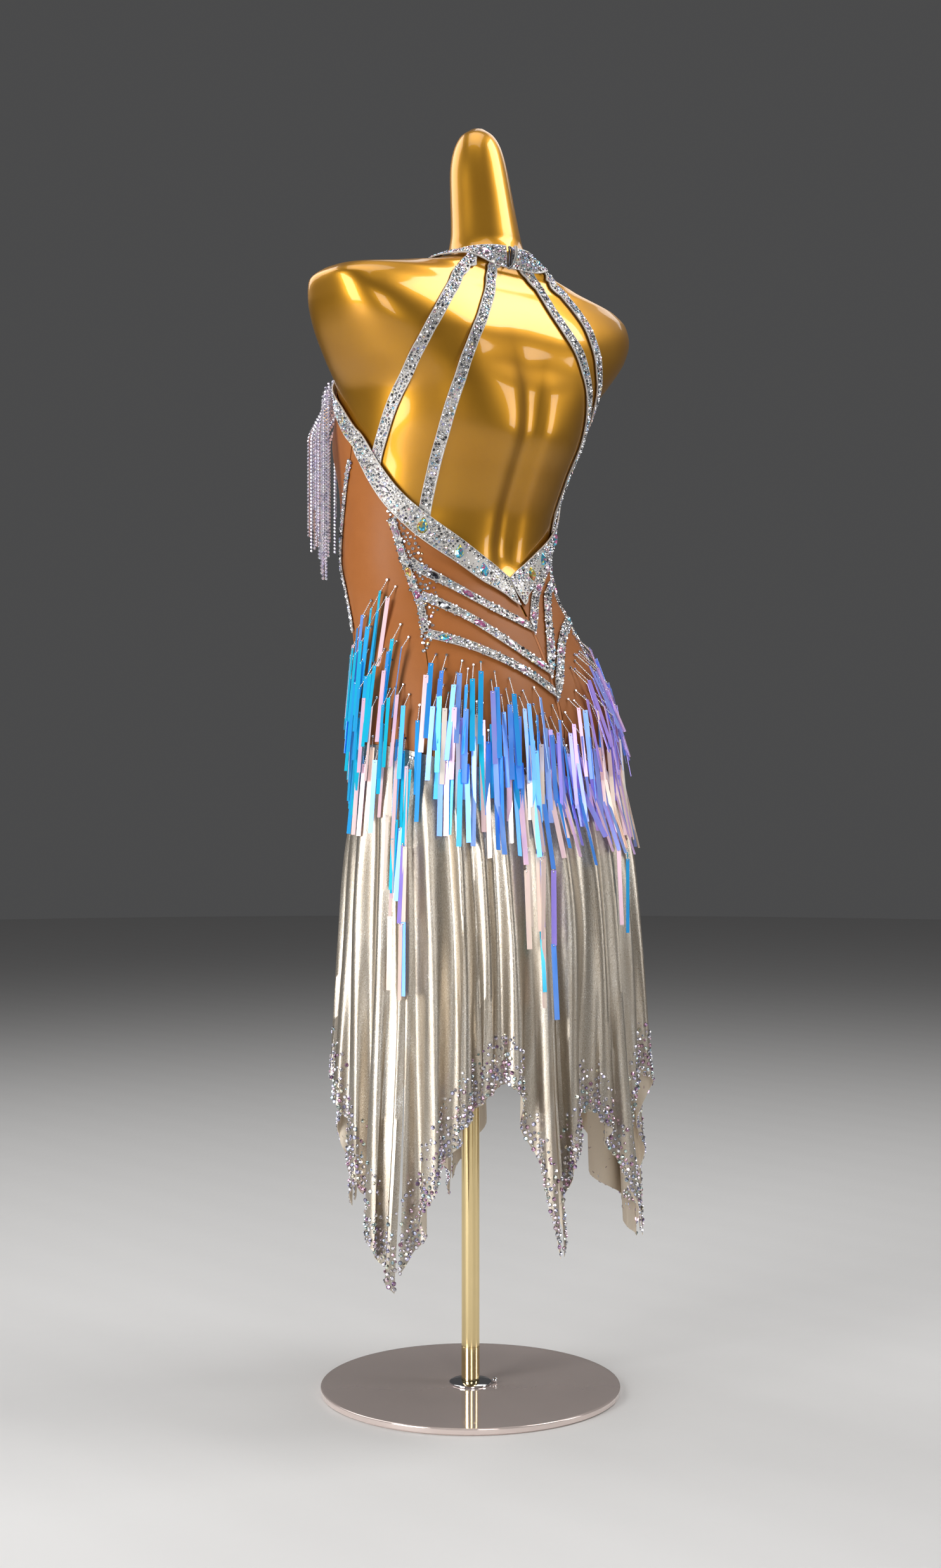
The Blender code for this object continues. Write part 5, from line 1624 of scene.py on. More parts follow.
# Each back strap and its route.
STRAPS = {
    "strap_inner_left": table_of(LinePoint, (
        (1.3279, 72.8), (1.3234, 76.9), (1.3179, 80.8), (1.3055, 85.1), (1.2907, 85.6), (1.2734, 84.5),
        (1.2543, 81.9), (1.2365, 77.7), (1.2204, 73.1), (1.2045, 68), (1.1888, 61.6), (1.1739, 55.8),
        (1.159, 52.2), (1.1442, 49.3), (1.126, 46.9), (1.1081, 45.5), (1.0899, 44.6), (1.0713, 43.9),
        (1.0506, 43.2), (1.036, 42.8), (1.024, 42.6))),
    "strap_outer_left": table_of(LinePoint, (
        (1.3272, 50.2), (1.323, 57.1), (1.3172, 65), (1.3105, 71.2), (1.3031, 74.6), (1.2889, 74.9),
        (1.2747, 72.6), (1.2597, 68.8), (1.2455, 63.6), (1.2318, 57.6), (1.2166, 50.4), (1.202, 42.5),
        (1.188, 33.7), (1.1739, 26), (1.1575, 20.5), (1.1425, 17.3), (1.1264, 14.9), (1.1103, 12.9),
        (1.0977, 11.6), (1.084, 10.8))),
    "strap_inner_right": table_of(LinePoint, (
        (1.3254, 82.1), (1.3225, 81.6), (1.3196, 81.9), (1.3054, 84.7), (1.2886, 85.7), (1.272, 85.6),
        (1.2561, 84.3), (1.2409, 81.6), (1.2282, 78.3), (1.2137, 73.7), (1.1985, 68.2), (1.1837, 61.9),
        (1.1691, 55.9), (1.152, 51.2), (1.13, 47.6), (1.106, 45.4), (1.07, 43.6), (1.036, 42.8),
        (1.024, 42.6))),
    "strap_outer_right": table_of(LinePoint, (
        (1.326, 52), (1.3225, 61), (1.318, 68.5), (1.3073, 75), (1.2935, 77.1), (1.2796, 76.6),
        (1.2653, 75.5), (1.249, 73.4), (1.2336, 70), (1.2191, 65), (1.204, 58.7), (1.1888, 51),
        (1.17, 39.6), (1.152, 28.2), (1.135, 19.8), (1.116, 14.6), (1.097, 12), (1.084, 11))),
}


class ChevronArm(NamedTuple):
    """One arm of a chevron: its distance from the form, how its start is cut, and its route."""

    name: str
    gap: float
    start: float
    mitre: float
    route: tuple[LinePoint, ...]


CHEVRON_ARMS = (
    ChevronArm("chevron_1_left", 3.5 * MM, 0.0006, 0.6, table_of(LinePoint, (
        (0.889, 98), (0.8985, 90), (0.908, 82), (0.9165, 75), (0.926, 68), (0.937, 61), (0.947, 54.5),
        (0.957, 46.7), (0.966, 39.6), (0.976, 35)))),
    ChevronArm("chevron_2_left", 3.7 * MM, 0.0008, 0.85, table_of(LinePoint, (
        (0.836, 98), (0.849, 90), (0.860, 83.5), (0.872, 77), (0.885, 70), (0.898, 63), (0.910, 55.8),
        (0.919, 48.5), (0.9265, 42.5), (0.933, 36.3)))),
    ChevronArm("chevron_3_left", 4.0 * MM, 0.0010, 1.0, table_of(LinePoint, (
        (0.808, 98), (0.8225, 90), (0.837, 82), (0.848, 75), (0.857, 68.6), (0.865, 62), (0.873, 55),
        (0.8795, 47.5), (0.884, 40.5), (0.888, 34)))),
    ChevronArm("chevron_1_right", 3.6 * MM, 0.0012, 2.0, table_of(LinePoint, (
        (0.868, 98), (0.8985, 90), (0.909, 87), (0.927, 81.5), (0.947, 72.5), (0.963, 64.5), (0.976, 56),
        (0.984, 48), (0.987, 40)))),
    ChevronArm("chevron_2_right", 3.7 * MM, 0.0016, 2.4, table_of(LinePoint, (
        (0.812, 98), (0.849, 90), (0.862, 87), (0.8736, 84.8), (0.8916, 81), (0.918, 74), (0.938, 65.5),
        (0.953, 56), (0.960, 48), (0.963, 38)))),
    ChevronArm("chevron_3_right", 4.0 * MM, 0.0020, 2.5, table_of(LinePoint, (
        (0.788, 98), (0.8225, 90), (0.836, 87.2), (0.852, 84), (0.871, 79), (0.890, 71.5), (0.903, 62),
        (0.911, 53), (0.914, 46), (0.915, 38)))),
)
SIDE_BACK_TRIM = table_of(LinePoint, (
    (1.024, 23.5), (1.006, 28.0), (0.985, 31.0), (0.960, 33.0), (0.930, 34.0), (0.902, 33.5),
    (0.890, 33.0),
))
SIDE_FRONT_TRIM = table_of(LinePoint, (
    (1.095, -7.0), (1.086, -9.0), (1.040, -17), (1.000, -23), (0.950, -26), (0.898, -24.4),
))


@dataclass
class Neckband:
    """The band round the neck and the hook clasp between its ends."""

    half_width: float = 0.0105
    back_height: float = 1.3300
    side_height: float = 1.3325
    back_gap: float = 4.2 * MM
    side_gap: float = 2.2 * MM
    clasp_angle: float = 82.3
    end: float = 2.3
    tab_turn: float = 4.6
    tab_heights: tuple[float, ...] = (1.3185, 1.330, 1.3415)
    hook_reach: float = 6.0
    hook_length: float = 0.0016
    hook_width: float = 0.0092
    steps: int = 180

    def strip(self) -> Strip:
        """The band as a strip."""
        angles = self.clasp_angle + np.linspace(self.end, 360 - self.end, 61)
        behind = np.clip(np.sin(np.radians(angles)), 0, 1)
        heights = blend(self.side_height, self.back_height, behind)
        gaps = blend(self.side_gap, self.back_gap, ramp(behind, 0.3, 0.7))
        route = Route([LinePoint(z, a) for z, a in zip(heights, angles)])
        gap_at = np.interp(np.linspace(0, route.walked[-1], 61), route.walked, gaps)
        return Strip("neckband", route, (-self.half_width, self.half_width), (-self.half_width, self.half_width),
                     gap_at, self.steps)

    def build(self, dresser: Dresser) -> None:
        """Makes and places the band and its clasp."""
        dress_strip(dresser, self.strip(), 91, LARGE_STONES["neckband"])
        self.build_clasp(dresser)

    def build_clasp(self, dresser: Dresser) -> None:
        """Makes a narrow hook of dark wire, in place of the clasp, and the raised tab beside it."""
        low, high = self.clasp_angle - self.hook_reach, self.clasp_angle + self.hook_reach
        route = Route([LinePoint(self.back_height, a) for a in np.linspace(low, high, 9)])
        middle = route.walked[-1] / 2
        turn = np.linspace(0, 2 * math.pi, 48, endpoint=False)
        along = self.hook_length * power(np.cos(turn), 0.5)
        aside = self.hook_width * power(np.sin(turn), 0.45)
        path = route.place(middle + along, aside, np.full(48, self.back_gap + 2.2 * MM))
        dresser.place(hoop("clasp_hook", path, 1.1 * MM, HOOK), HOOK, "neckband_clasp")
        upright = [LinePoint(z, self.clasp_angle + self.tab_turn) for z in self.tab_heights]
        tab = Trims.level("neckband_tab", upright, 1.5 * MM, self.back_gap, 12, thickness=3.6 * MM, roll=0.6 * MM)
        dresser.place(tab.cloth(BAND_CLOTH), BAND_CLOTH)


def hoop(name: str, path: Array, radius: float, finish: Finish, sides: int = 10) -> bpy.types.Object:
    """A round wire along a closed path."""
    ahead = unit(np.roll(path, -1, axis=0) - np.roll(path, 1, axis=0))
    out = unit(np.cross(ahead, np.cross(path * (1, 1, 0) + (0, 0, 1e-6), ahead)))
    side = np.cross(ahead, out)
    turn = np.arange(sides) * 2 * math.pi / sides
    rings = path[:, None] + radius * (out[:, None] * np.cos(turn)[:, None] + side[:, None] * np.sin(turn)[:, None])
    count = len(path)
    faces = [(i * sides + j, i * sides + (j + 1) % sides, (i + 1) % count * sides + (j + 1) % sides,
              (i + 1) % count * sides + j) for i in range(count) for j in range(sides)]
    verts = rings.reshape(-1, 3)
    face = verts[list(faces[0])]
    if np.dot(np.cross(face[1] - face[0], face[3] - face[0]), face.mean(axis=0) - path[0]) < 0:
        faces = [f[::-1] for f in faces]
    return make_object(name, verts, faces, [finish], np.zeros((len(verts), 2)))


# ---------------------------------------------------------------- skirt
class HemPoint(NamedTuple):
    """An angle and a height."""

    angle: float
    z: float


class Gore(NamedTuple):
    """A gore from one slit to the next: its number of folds and its hem."""

    name: str
    folds: int
    hem: tuple[HemPoint, ...]


GORES = (
    Gore("skirt_back", 3, table_of(HemPoint, (
        (73, 0.203), (77, 0.262), (84, 0.335), (90, 0.352), (97, 0.325), (103, 0.262), (107, 0.214)))),
    Gore("skirt_back_left", 5, table_of(HemPoint, (
        (16, 0.182), (23, 0.232), (35, 0.315), (48, 0.375), (57, 0.392), (65, 0.330), (73, 0.201)))),
    Gore("skirt_side_left", 7, table_of(HemPoint, (
        (-67, 0.212), (-58, 0.290), (-46, 0.352), (-34, 0.378), (-20, 0.340), (-4, 0.262), (9, 0.192),
        (16, 0.163)))),
    Gore("skirt_front", 4, table_of(HemPoint, (
        (-113, 0.203), (-104, 0.280), (-90, 0.350), (-76, 0.285), (-67, 0.218)))),
    Gore("skirt_side_right", 7, table_of(HemPoint, (
        (164, 0.169), (171, 0.194), (184, 0.262), (200, 0.340), (214, 0.378), (226, 0.352), (238, 0.280),
        (247, 0.224)))),
    Gore("skirt_back_right", 5, table_of(HemPoint, (
        (107, 0.208), (115, 0.320), (124, 0.388), (135, 0.378), (146, 0.315), (157, 0.236), (164, 0.187)))),
)


@dataclass
class Skirt:
    """Six gores of silver cloth that hang in soft folds."""

    thickness: float = 0.8 * MM
    seam_gap: float = 0.7 * MM
    gore_half_angle: float = 0.08
    slit_low: float = 0.15
    slit_top: float = 0.50
    slit_opening: float = 0.6
    edge_fold: float = 0.3
    fold_phase: float = 45.0
    even_fold: float = 0.8
    uneven_fold: float = 0.35
    uneven_turn: float = 2.4
    most_folds: int = 7
    rows: int = 90
    columns_per_fold: int = 16
    overhang: float = 0.17
    deep_fold: float = 1.1
    wide_fold: float = 0.055
    loose_low: float = 0.20
    loose_high: float = 0.56
    hem_rows: int = 15
    hem_bare: float = 1.0 * MM
    hem_reach: float = 0.021
    hem_sizes: tuple[tuple[float, float], ...] = ((2.7 * MM, 0.40), (2.2 * MM, 0.60), (1.7 * MM, 0.60), (1.25 * MM, 0.30))

    def turns(self, number: int, gore: Gore, share: Array, z: Array) -> Array:
        """Which fold each place is in, counted from the gore's edge. The folds sway a little on their way down."""
        within = np.sin(math.pi * share)
        uneven = share + self.wide_fold * within * np.sin(8.0 * share + 1.9 * number)
        sway = 0.12 * np.sin(7.0 * z + 1.7 * number) * ramp(0.66 - z, 0.0, 0.12) * within
        return uneven * gore.folds + sway

    def looseness(self, z: Array) -> Array:
        """How freely the cloth falls, from 0 high up to 1 at the lowest tips."""
        return 1 - ramp(z, self.loose_low, self.loose_high)

    def folds(self, number: int, gore: Gore, share: Array, z: Array) -> Array:
        """How far the cloth stands out, from -1 in a groove to 1 on a ridge.

        Args:
            number: the gore's number.
            gore: the gore.
            share: places across the gore, from 0 to 1.
            z: the heights of these places.

        Returns:
            The fold's depth at each place.
        """
        turns = self.turns(number, gore, share, z)
        wave = np.cos(math.radians(self.fold_phase) + 2 * math.pi * turns) * 1.2
        whole = turns + self.most_folds * number
        depth = self.even_fold + self.uneven_fold * np.sin(self.uneven_turn * whole)
        small = 0.06 * np.sin(2 * math.pi * (turns * 2.37 + 0.31 * number) + 9.0 * z) * ramp(0.70 - z, 0, 0.1)
        edge = ramp(np.minimum(turns, gore.folds - turns), 0.0, 0.22)
        wave = wave * depth
        wave = np.where(wave < 0, wave * (1 + self.deep_fold * self.looseness(z)), wave)
        return blend(self.edge_fold, wave + small, edge)

    def swing(self, number: int, gore: Gore, share: Array, z: Array) -> Array:
        """How many degrees the cloth swings aside, so that low down the folds hang over their grooves."""
        turns = self.turns(number, gore, share, z)
        phase = math.radians(self.fold_phase) + 2 * math.pi * turns
        edge = ramp(np.minimum(turns, gore.folds - turns), 0.1, 0.6)
        fold = (gore.hem[-1].angle - gore.hem[0].angle) / gore.folds
        return self.overhang * fold * self.looseness(z) ** 0.7 * edge * (np.sin(2 * phase) - 0.5 * np.sin(phase))

    def grid(self, number: int, gore: Gore) -> Array:
        """The points of a gore's inner face."""
        low, high = gore.hem[0].angle, gore.hem[-1].angle
        hem = smooth_curve([p.angle for p in gore.hem], [p.z for p in gore.hem])
        share = np.linspace(0, 1, gore.folds * self.columns_per_fold + 1)
        angles = blend(low, high, share)
        middle, reach = (low + high) / 2, (high - low) / 2
        rows = []
        for up in np.linspace(0, 1, self.rows):
            z = hem(angles) + up * (hip_seam(angles) - self.seam_gap - hem(angles))
            opening = self.gore_half_angle + self.slit_opening * (1 - ramp(z, self.slit_low, self.slit_top))
            turned_in = angles + (middle - angles) / reach * opening + self.swing(number, gore, share, z)
            rows.append(SKIRT.point(turned_in, z, self.folds(number, gore, share, z)))
        return np.array(rows)

    def build(self, dresser: Dresser) -> None:
        """Makes and places the gores."""
        for number, gore in enumerate(GORES):
            inner = self.grid(number, gore)
            patch = Patch(inner + Patch.cross(inner) * self.thickness, np.array([0.0, 0.035]))
            piece = patch.shell(gore.name + "_cloth", self.thickness, LAME, LAME_BACK)
            dresser.place(piece, LAME, gore.name)
            stones = self.hem_stones(gore.name, patch, number)
            dresser.place(stones, HEM_STONES)
            min(patch.area, patch.width * patch.length)

    def hem_stones(self, name: str, patch: Patch, seed: int) -> bpy.types.Object:
        """Sets stones along a gore's hem, close at its edge and scattered above it."""
        hem = Patch(patch.points[: self.hem_rows], np.array([0.0, 0.035]))
        stones = Stones(200 + seed)
        room = hem.width * hem.length / STONE_ROOM

        def wanted(u: Array, v: Array) -> Array:
            rise = v * hem.length - self.hem_bare
            return np.where(rise < 0, 0, 0.98 * np.exp(-((rise / self.hem_reach) ** 2)) + 0.012)

        def tints(points: Array) -> Array:
            return stones.random.uniform(0, 1, len(points))

        sizes = [(radius, int(room * share)) for radius, share in self.hem_sizes]
        stones.fill(hem, sizes, tints, wanted)
        return stones.build(name + "_stones", HEM_STONES)


# ---------------------------------------------------------------- fringes
BEAD_PROFILE = ((0.35, -1.0), (0.95, -0.6), (0.95, 0.6), (0.35, 1.0))
FRINGE_AXIS = np.array([0.0, 0.015])


class FringeArc(NamedTuple):
    """The line of a fringe's highest roots, with the solid's number of strands a row."""

    name: str
    gap: float
    strands: int
    roots: tuple[HemPoint, ...]


FRINGE_ARCS = (
    FringeArc("back", 3.3 * MM, 13, table_of(HemPoint, (
        (32.0, 0.862), (45, 0.857), (60, 0.841), (70, 0.828), (80, 0.814), (90, 0.801), (98, 0.825),
        (103, 0.842), (113, 0.862), (120, 0.876), (132, 0.894), (143, 0.902)))),
    FringeArc("front", 3.9 * MM, 20, table_of(HemPoint, (
        (152.5, 0.952), (159, 0.945), (166, 0.928), (175, 0.922), (190, 0.887), (205, 0.872),
        (235, 0.862), (270, 0.850), (305, 0.862), (335, 0.872), (350, 0.887), (365, 0.922), (374, 0.928),
        (381, 0.945), (387.5, 0.952)))),
)
BUST_ROUTE = table_of(HemPoint, (
    (204.5, 1.152), (209.5, 1.160), (225, 1.181), (240, 1.196), (255, 1.190), (270, 1.175), (285, 1.190),
    (300, 1.196), (315, 1.181), (330.5, 1.160), (335.5, 1.152),
))
# Each slit's angle and the most strips on one thread there.
SLITS = ((16, 3), (73, 3), (107, 2), (164, 3), (247, 3), (293, 3))


def outer_reach(angle: Array, z: Array) -> Array:
    """How far the dress reaches from the fringe axis at an angle and a height."""
    angle, z = np.broadcast_arrays(np.asarray(angle, float), np.asarray(z, float))
    seam = hip_seam(angle)
    on_body = SHAPE.surface(angle, np.maximum(z, 0.70), 2.8 * MM)
    on_skirt = SKIRT.point(angle, np.minimum(z, seam), np.full_like(z, 1.15))
    points = np.where((z < seam)[..., None], on_skirt, on_body)
    return np.linalg.norm(points[..., :2] - FRINGE_AXIS, axis=-1)


@dataclass
class Fringe:
    """The hip fringe of pearly strips on beaded threads, and the bust fringe of stone chains."""

    rows: int = 4
    last_row: float = 0.010
    strip_length: float = 0.082
    strip_width: float = 5.7 * MM
    strip_depth: float = 0.35 * MM
    thread_length: float = 0.014
    denser: int = 3
    end_margin: float = 1.0
    bead_pitch: float = 2.6 * MM
    bead_radius: float = 0.75 * MM
    chains: int = 84
    chain_gap: float = 11.0 * MM
    chain_bend: float = 0.048
    chain_lengths: tuple[float, ...] = (0.160, 0.120, 0.150, 0.105, 0.135)
    chain_pitch: float = 4.1 * MM
    chain_radius: float = 2.2 * MM
    chain_layer: float = 3.4 * MM
    long_reach: float = 6.0
    extra_threads: int = 4
    least_lean: float = 0.10
    most_stand_off: float = 0.09
    seed: int = 11

    def strip_template(self) -> bpy.types.Object:
        """A flat strip that hangs from its hole: X across, Z out and Y up."""
        w, d, top = self.strip_width / 2, self.strip_depth / 2, 1.2 * MM
        hole, length, sides = 0.75 * MM, self.strip_length, 8
        turn = np.arange(sides) * 2 * math.pi / sides
        ring = np.stack([hole * np.cos(turn), hole * np.sin(turn)], axis=1)
        reach = np.maximum(np.abs(np.cos(turn)), np.abs(np.sin(turn)))
        box = np.stack([np.cos(turn), np.sin(turn)], axis=1) / reach[:, None] * w
        box[:, 1] = np.clip(box[:, 1], -w, top + 1.2 * MM)
        levels = np.array([-0.25, -0.5, -0.75, -1.0]) * length
        flat = np.array([*ring, *box, *((s * w, y) for y in levels for s in (-1, 1))])
        faces = [(sides + i, sides + (i + 1) % sides, (i + 1) % sides, i) for i in range(sides)]
        first = 2 * sides
        faces.append((first + 1, first - 1, first - 2, first - 3, first))
        faces += [(first + 2 * k, first + 2 * k + 1, first + 2 * k - 1, first + 2 * k - 2) for k in range(1, 4)]
        return self.plate("strip_template", flat, faces, d)

    @staticmethod
    def plate(name: str, flat: Array, faces: Sequence[Sequence[int]], half: float) -> bpy.types.Object:
        """A thin plate from a flat outline of faces, closed at all its edges."""
        count = len(flat)
        oriented = []
        for f in faces:
            corners = flat[list(f)]
            turn = sum(a[0] * b[1] - a[1] * b[0] for a, b in zip(corners, np.roll(corners, -1, axis=0)))
            oriented.append(tuple(f) if turn > 0 else tuple(f[::-1]))
        edges = [(a, b) for f in oriented for a, b in zip(f, f[1:] + f[:1])]
        rim = [(b, a, a + count, b + count) for a, b in edges if (b, a) not in edges]
        under = [tuple(i + count for i in f[::-1]) for f in oriented]
        verts = [*((x, y, half) for x, y in flat), *((x, y, -half) for x, y in flat)]
        return make_object(name, np.array(verts), [*oriented, *under, *rim], [FILM], np.tile(flat, (2, 1)))

    def build(self, dresser: Dresser) -> None:
        """Makes and places the fringes."""
        random = np.random.default_rng(self.seed)
        strip = self.strip_template()
        bead = turned("bead_template", BEAD_PROFILE, 6, BEADS, 80.0)
        stone = gem("root_template", Cut.ROUND.outline(), 0.62, STONES)
        for row in range(self.rows):
            for arc in FRINGE_ARCS:
                strips, threads, roots = self.hang_row(arc, row, random)
                name = f"hip_fringe_{arc.name}_{row + 1}"
                dresser.place(repeat(name + "_strips", strip, strips, FILM, 0.02, row), FILM, name)
                dresser.place(repeat(name + "_beads", bead, threads, BEADS, 0.10, row), FILM)
                dresser.place(repeat(name + "_roots", stone, roots, STONES, 0.12, row), FILM)
        dresser.place(repeat("bust_fringe_chains", stone, self.hang_chains(random), CHAIN, 0.05, 5), CHAIN,
                      "bust_fringe")
        for template in (strip, bead, stone):
            bpy.data.objects.remove(template)

    def hang_row(
        self, arc: FringeArc, row: int, random: np.random.Generator
    ) -> tuple[Placing, Placing, Placing]:
        """Hangs a row, the lower rows under the upper ones.

        Args:
            arc: the line of the highest roots.
            row: the row's number, 0 for the highest.
            random: where chance comes from.

        Returns:
            The places of the strips, of the threads' beads and of the root stones.
        """
        angles = np.array([p.angle for p in arc.roots])
        heights = np.array([p.z for p in arc.roots])
        last = hip_seam(angles) + self.last_row
        height_at = smooth_curve(angles, blend(heights, last, row / (self.rows - 1)))
        count = arc.strands * self.denser
        low, high = angles[0] + self.end_margin, angles[-1] - self.end_margin
        step = (high - low) / count
        at = low + step * (np.arange(count) + 0.5 + (row - 1.5) / self.rows + random.uniform(-0.2, 0.2, count))
        if row == self.rows - 1:
            near = [a for slit, _ in SLITS for a in (slit, slit + 360) if low < a < high]
            extra = [a + random.uniform(-0.8, 0.8, self.extra_threads) * self.long_reach for a in near]
            at = np.clip(np.concatenate([at, *extra]), low, high)
        spread = (heights - last).mean() / (self.rows - 1)
        strips, threads, roots = [], [], []
        for angle in at:
            root_z = float(height_at(angle)) + random.uniform(-0.45, 0.35) * spread
            layer = (self.rows - row) * 1.0 * MM + random.uniform(0, 1.4) * MM
            thread = self.thread_length * random.uniform(0.8, 1.5)
            root = SHAPE.surface(angle, root_z, arc.gap)
            ahead = SHAPE.surface(angle + 0.5, root_z, arc.gap) - root
            normal = unit(np.cross(unit(ahead), np.array([0, 0, 1.0])))
            tint = random.uniform(0, 1)
            roots.append((root, unit(ahead), normal, (1.7 * MM, 1.7 * MM, 1.4 * MM), tint))
            direction = unit(root[:2] - FRINGE_AXIS)
            begin = root_z - thread
            reach = float(outer_reach(angle, begin)) + layer
            most = self.longest(angle) if row == self.rows - 1 else 1
            parts = int(random.integers((most + 1) // 2, most + 1))
            for part in range(parts):
                below = begin - self.strip_length * np.linspace(0.3, 1, 6)
                slope = float(max(0.0, ((outer_reach(angle, below) + layer - reach) / (begin - below)).max()))
                stand_off = min(max(0.0, slope - self.least_lean), self.most_stand_off) if part == 0 else 0.0
                slope -= stand_off
                reach += stand_off * self.strip_length
                top = np.array([*(FRINGE_AXIS + direction * reach), begin])
                hang = unit(np.array([*(direction * slope), -1.0]) + random.normal(0, 0.02, 3))
                out = unit(np.array([*direction, slope]))
                across = unit(np.cross(hang, out))
                turn = random.normal(0, 0.32)
                out = out * math.cos(turn) + across * math.sin(turn)
                across = np.cross(-hang, out)
                shade = self.shade(row, part, angle, random)
                length = random.uniform(0.95, 1.03)
                strips.append((top, across, out, (1.0, length, 1.0), shade))
                self.hang_thread(threads, roots[-1][0] if part == 0 else above, top, normal)
                above = top + hang * self.strip_length * length
                reach += slope * self.strip_length
                begin -= self.strip_length * length + random.uniform(1.0, 4.0) * MM
        return tuple(self.placing(rows) for rows in (strips, threads, roots))

    @staticmethod
    def placing(rows: Sequence[tuple]) -> Placing:
        """Gathers rows of a point, a side, an outward way, a size and a tint."""
        points, sides, outs, sizes, tints = (np.array(c, float) for c in zip(*rows))
        return Placing(points, euler_turns(sides, outs), sizes, tints)

    def hang_thread(self, threads: list[tuple], start: Array, end: Array, normal: Array) -> None:
        """Strings beads from one point to another."""
        way = end - start
        length = float(np.linalg.norm(way))
        count = max(1, int(round(length / self.bead_pitch)))
        radius = self.bead_radius
        for i in range(count):
            middle = start + way * (i + 0.5) / count
            threads.append((middle, np.cross(way, normal), way, (radius, radius, length / count / 2), 0.5))

    def shade(self, row: int, part: int, angle: float, random: np.random.Generator) -> float:
        """A strip's place on the film's colours: bluer in the upper rows and creamier in the lower ones; across the
        view it runs from cyan at the left to lilac at the right, a painted iridescent reflection.
        """
        pick = random.uniform(0, 1)
        if part > 0:
            return float(random.choice((0.02, 0.14, 0.34, 0.62, 0.80, 0.88, 0.94, 1.0)))
        if pick < (0.06, 0.10, 0.20, 0.36)[row]:
            return float(random.choice((0.78, 0.84, 0.90, 0.96)))
        # Painted reflection: the film's hue follows the strip's bearing from the camera, which sits at 47 degrees.
        across = math.sin(math.radians(angle - 47))
        middle = 0.07 + 0.20 * float(ramp(across, -0.7, 0.1)) + 0.34 * float(ramp(across, 0.3, 0.95))
        return float(np.clip(middle + random.normal(0, 0.13), 0.0, 0.74))

    def hang_chains(self, random: np.random.Generator) -> Placing:
        """Hangs chains of stones from the bust's upper line, over the bust and straight down."""
        angles = [p.angle for p in BUST_ROUTE]
        height_at = smooth_curve(angles, [p.z for p in BUST_ROUTE])
        rows = []
        count = self.chains
        for number, angle in enumerate(blend(angles[0] + 1, angles[-1] - 1, np.linspace(0, 1, count))):
            length = self.chain_bend + self.chain_lengths[number % len(self.chain_lengths)]
            length *= random.uniform(0.94, 1.04)
            top = float(height_at(angle))
            heights = top - np.linspace(0, length, 90)
            reach = np.linalg.norm(
                SHAPE.surface(angle, heights, self.chain_gap)[..., :2] - FRINGE_AXIS, axis=-1)
            reach = np.maximum.accumulate(reach) + (number % 3) * self.chain_layer
            direction = unit(SHAPE.surface(angle, top)[:2] - FRINGE_AXIS)
            path = np.concatenate([FRINGE_AXIS + direction * reach[:, None], heights[:, None]], axis=1)
            walked = np.concatenate([[0], np.cumsum(np.linalg.norm(np.diff(path, axis=0), axis=1))])
            at = np.arange(0, min(length, walked[-1]), self.chain_pitch)
            places = np.stack([np.interp(at, walked, path[:, k]) for k in range(3)], axis=1)
            ways = unit(np.gradient(places, axis=0))
            turn = random.uniform(-1.1, 1.1)
            out = np.array([*direction, 0.0])
            side = np.cross(out, (0, 0, 1.0))
            face = out * math.cos(turn) + side * math.sin(turn)
            for place, way in zip(places, ways):
                rows.append((place, np.cross(way, face), face - way * np.dot(face, way),
                             (self.chain_radius, self.chain_radius, self.chain_radius), random.uniform(0, 1)))
        return self.placing(rows)

    def longest(self, angle: float) -> int:
        """The most strips that one thread holds here."""
        return max((most for at, most in SLITS if abs((angle - at + 180) % 360 - 180) < self.long_reach), default=1)


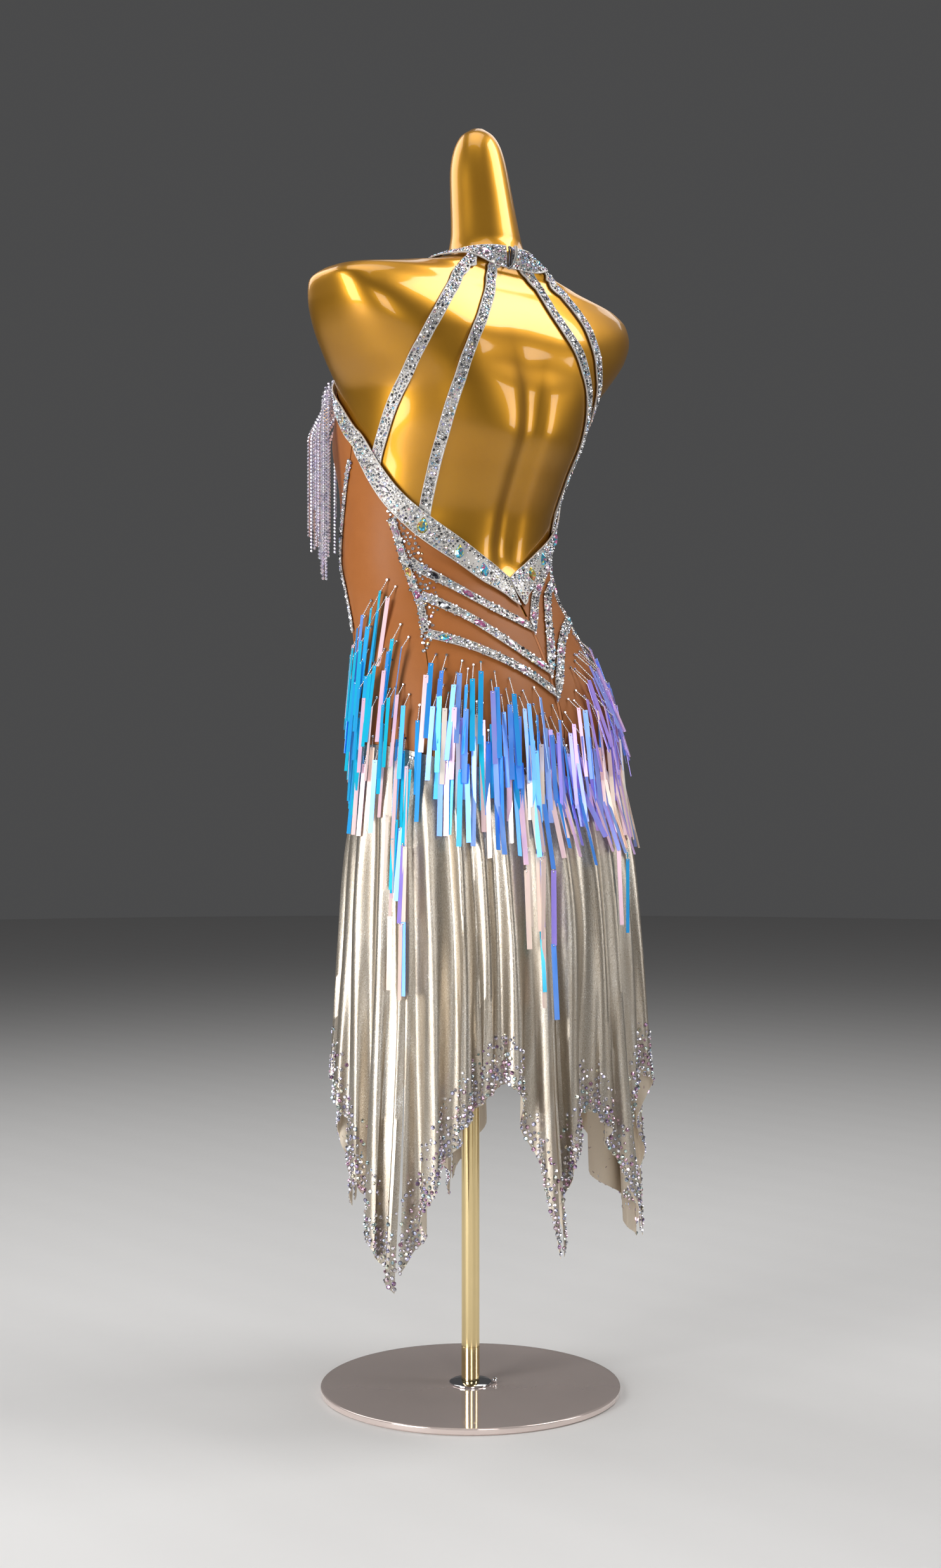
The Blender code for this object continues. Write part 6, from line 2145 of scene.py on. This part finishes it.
# ---------------------------------------------------------------- studio
@dataclass
class Studio:
    """The floor, the lights, the surroundings and the camera."""

    camera_height: float = 0.72
    camera_distance: float = 2.49
    camera_bearing: float = 43.0
    lens: float = 48.08
    sensor: float = 36.0
    exposure: float = -0.1

    def build(self) -> None:
        """Makes the studio."""
        self.build_floor()
        self.build_world()
        self.build_camera()
        for name, place, size, energy in (
            ("key", (-1.35, 1.25, 2.95), (1.4, 1.2), 38.0),
            ("side", (2.45, 0.05, 1.15), (1.1, 2.0), 56.0),
            ("near", (1.35, 2.35, 1.20), (0.7, 1.2), 13.0),
            ("far", (-1.75, 2.15, 1.20), (0.7, 1.2), 13.0),
            ("front", (0.75, -2.1, 2.6), (2.0, 2.0), 34.0),
            ("front_fill", (-1.9, -0.9, 3.1), (1.6, 1.6), 13.0),
            ("top", (0.3, 0.2, 3.1), (1.4, 1.4), 14.0),
        ):
            self.add_light(name, Vector(place), size, energy)
        view = bpy.context.scene.view_settings
        view.view_transform, view.exposure = "Standard", self.exposure

    def build_floor(self) -> None:
        """A plain pale floor."""
        floor = Knit("pale_floor", "", (0.72, 0.71, 0.70), (0.70, 0.69, 0.68), 0.0, 0.6, 0.02)
        turn = np.arange(96) * 2 * math.pi / 96
        verts = np.stack([9 * np.cos(turn), 9 * np.sin(turn), np.full(96, -0.2 * MM)], axis=1)
        made = make_object("floor", verts, [list(range(96))], [floor], verts[:, :2])
        made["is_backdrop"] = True

    def build_world(self) -> None:
        """Soft grey surroundings."""
        world = bpy.data.worlds.new("studio")
        bpy.context.scene.world = world
        world.use_nodes = True
        recipe = Recipe(world.node_tree)
        sky = recipe.node("ShaderNodeBackground", {}, {"Color": (0.62, 0.62, 0.63), "Strength": 0.12})
        out = world.node_tree.nodes.new("ShaderNodeOutputWorld")
        world.node_tree.links.new(sky.socket, out.inputs["Surface"])

    def build_camera(self) -> None:
        """The camera behind the form's left shoulder, level, at hip height."""
        data = bpy.data.cameras.new("camera")
        data.lens, data.sensor_width = self.lens, self.sensor
        camera = bpy.data.objects.new("camera", data)
        bearing = math.radians(self.camera_bearing)
        camera.location = (
            self.camera_distance * math.sin(bearing), self.camera_distance * math.cos(bearing), self.camera_height)
        camera.rotation_euler = (math.pi / 2, 0, math.pi - bearing)
        bpy.context.scene.collection.objects.link(camera)
        bpy.context.scene.camera = camera

    def add_light(self, name: str, place: Vector, size: tuple[float, float], energy: float) -> None:
        """A soft box that faces the dress."""
        data = bpy.data.lights.new(name, "AREA")
        data.shape = "RECTANGLE"
        data.size, data.size_y = size
        data.energy = energy
        light = bpy.data.objects.new(name, data)
        light.location = place
        light.rotation_euler = (Vector((0, 0, 0.9)) - place).to_track_quat("-Z", "Y").to_euler()
        bpy.context.scene.collection.objects.link(light)


def corners() -> list[list[float]]:
    """The lowest and highest corner of what shows."""
    return [[round(c, 5) for c in corner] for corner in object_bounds()]


def main() -> None:
    """Loads the frame, dresses it and sets up the studio."""
    logging.basicConfig(level=logging.INFO, format="%(message)s")
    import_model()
    dresser = Dresser()
    Studio().build()
    for part in (Stand(), DressForm(), Bodice(), Trims(), Neckband(), Skirt(), Fringe()):
        part.build(dresser)
        LOG.info("%s done, %d pieces", type(part).__name__, dresser.pieces)


if __name__ == "__main__":
    main()
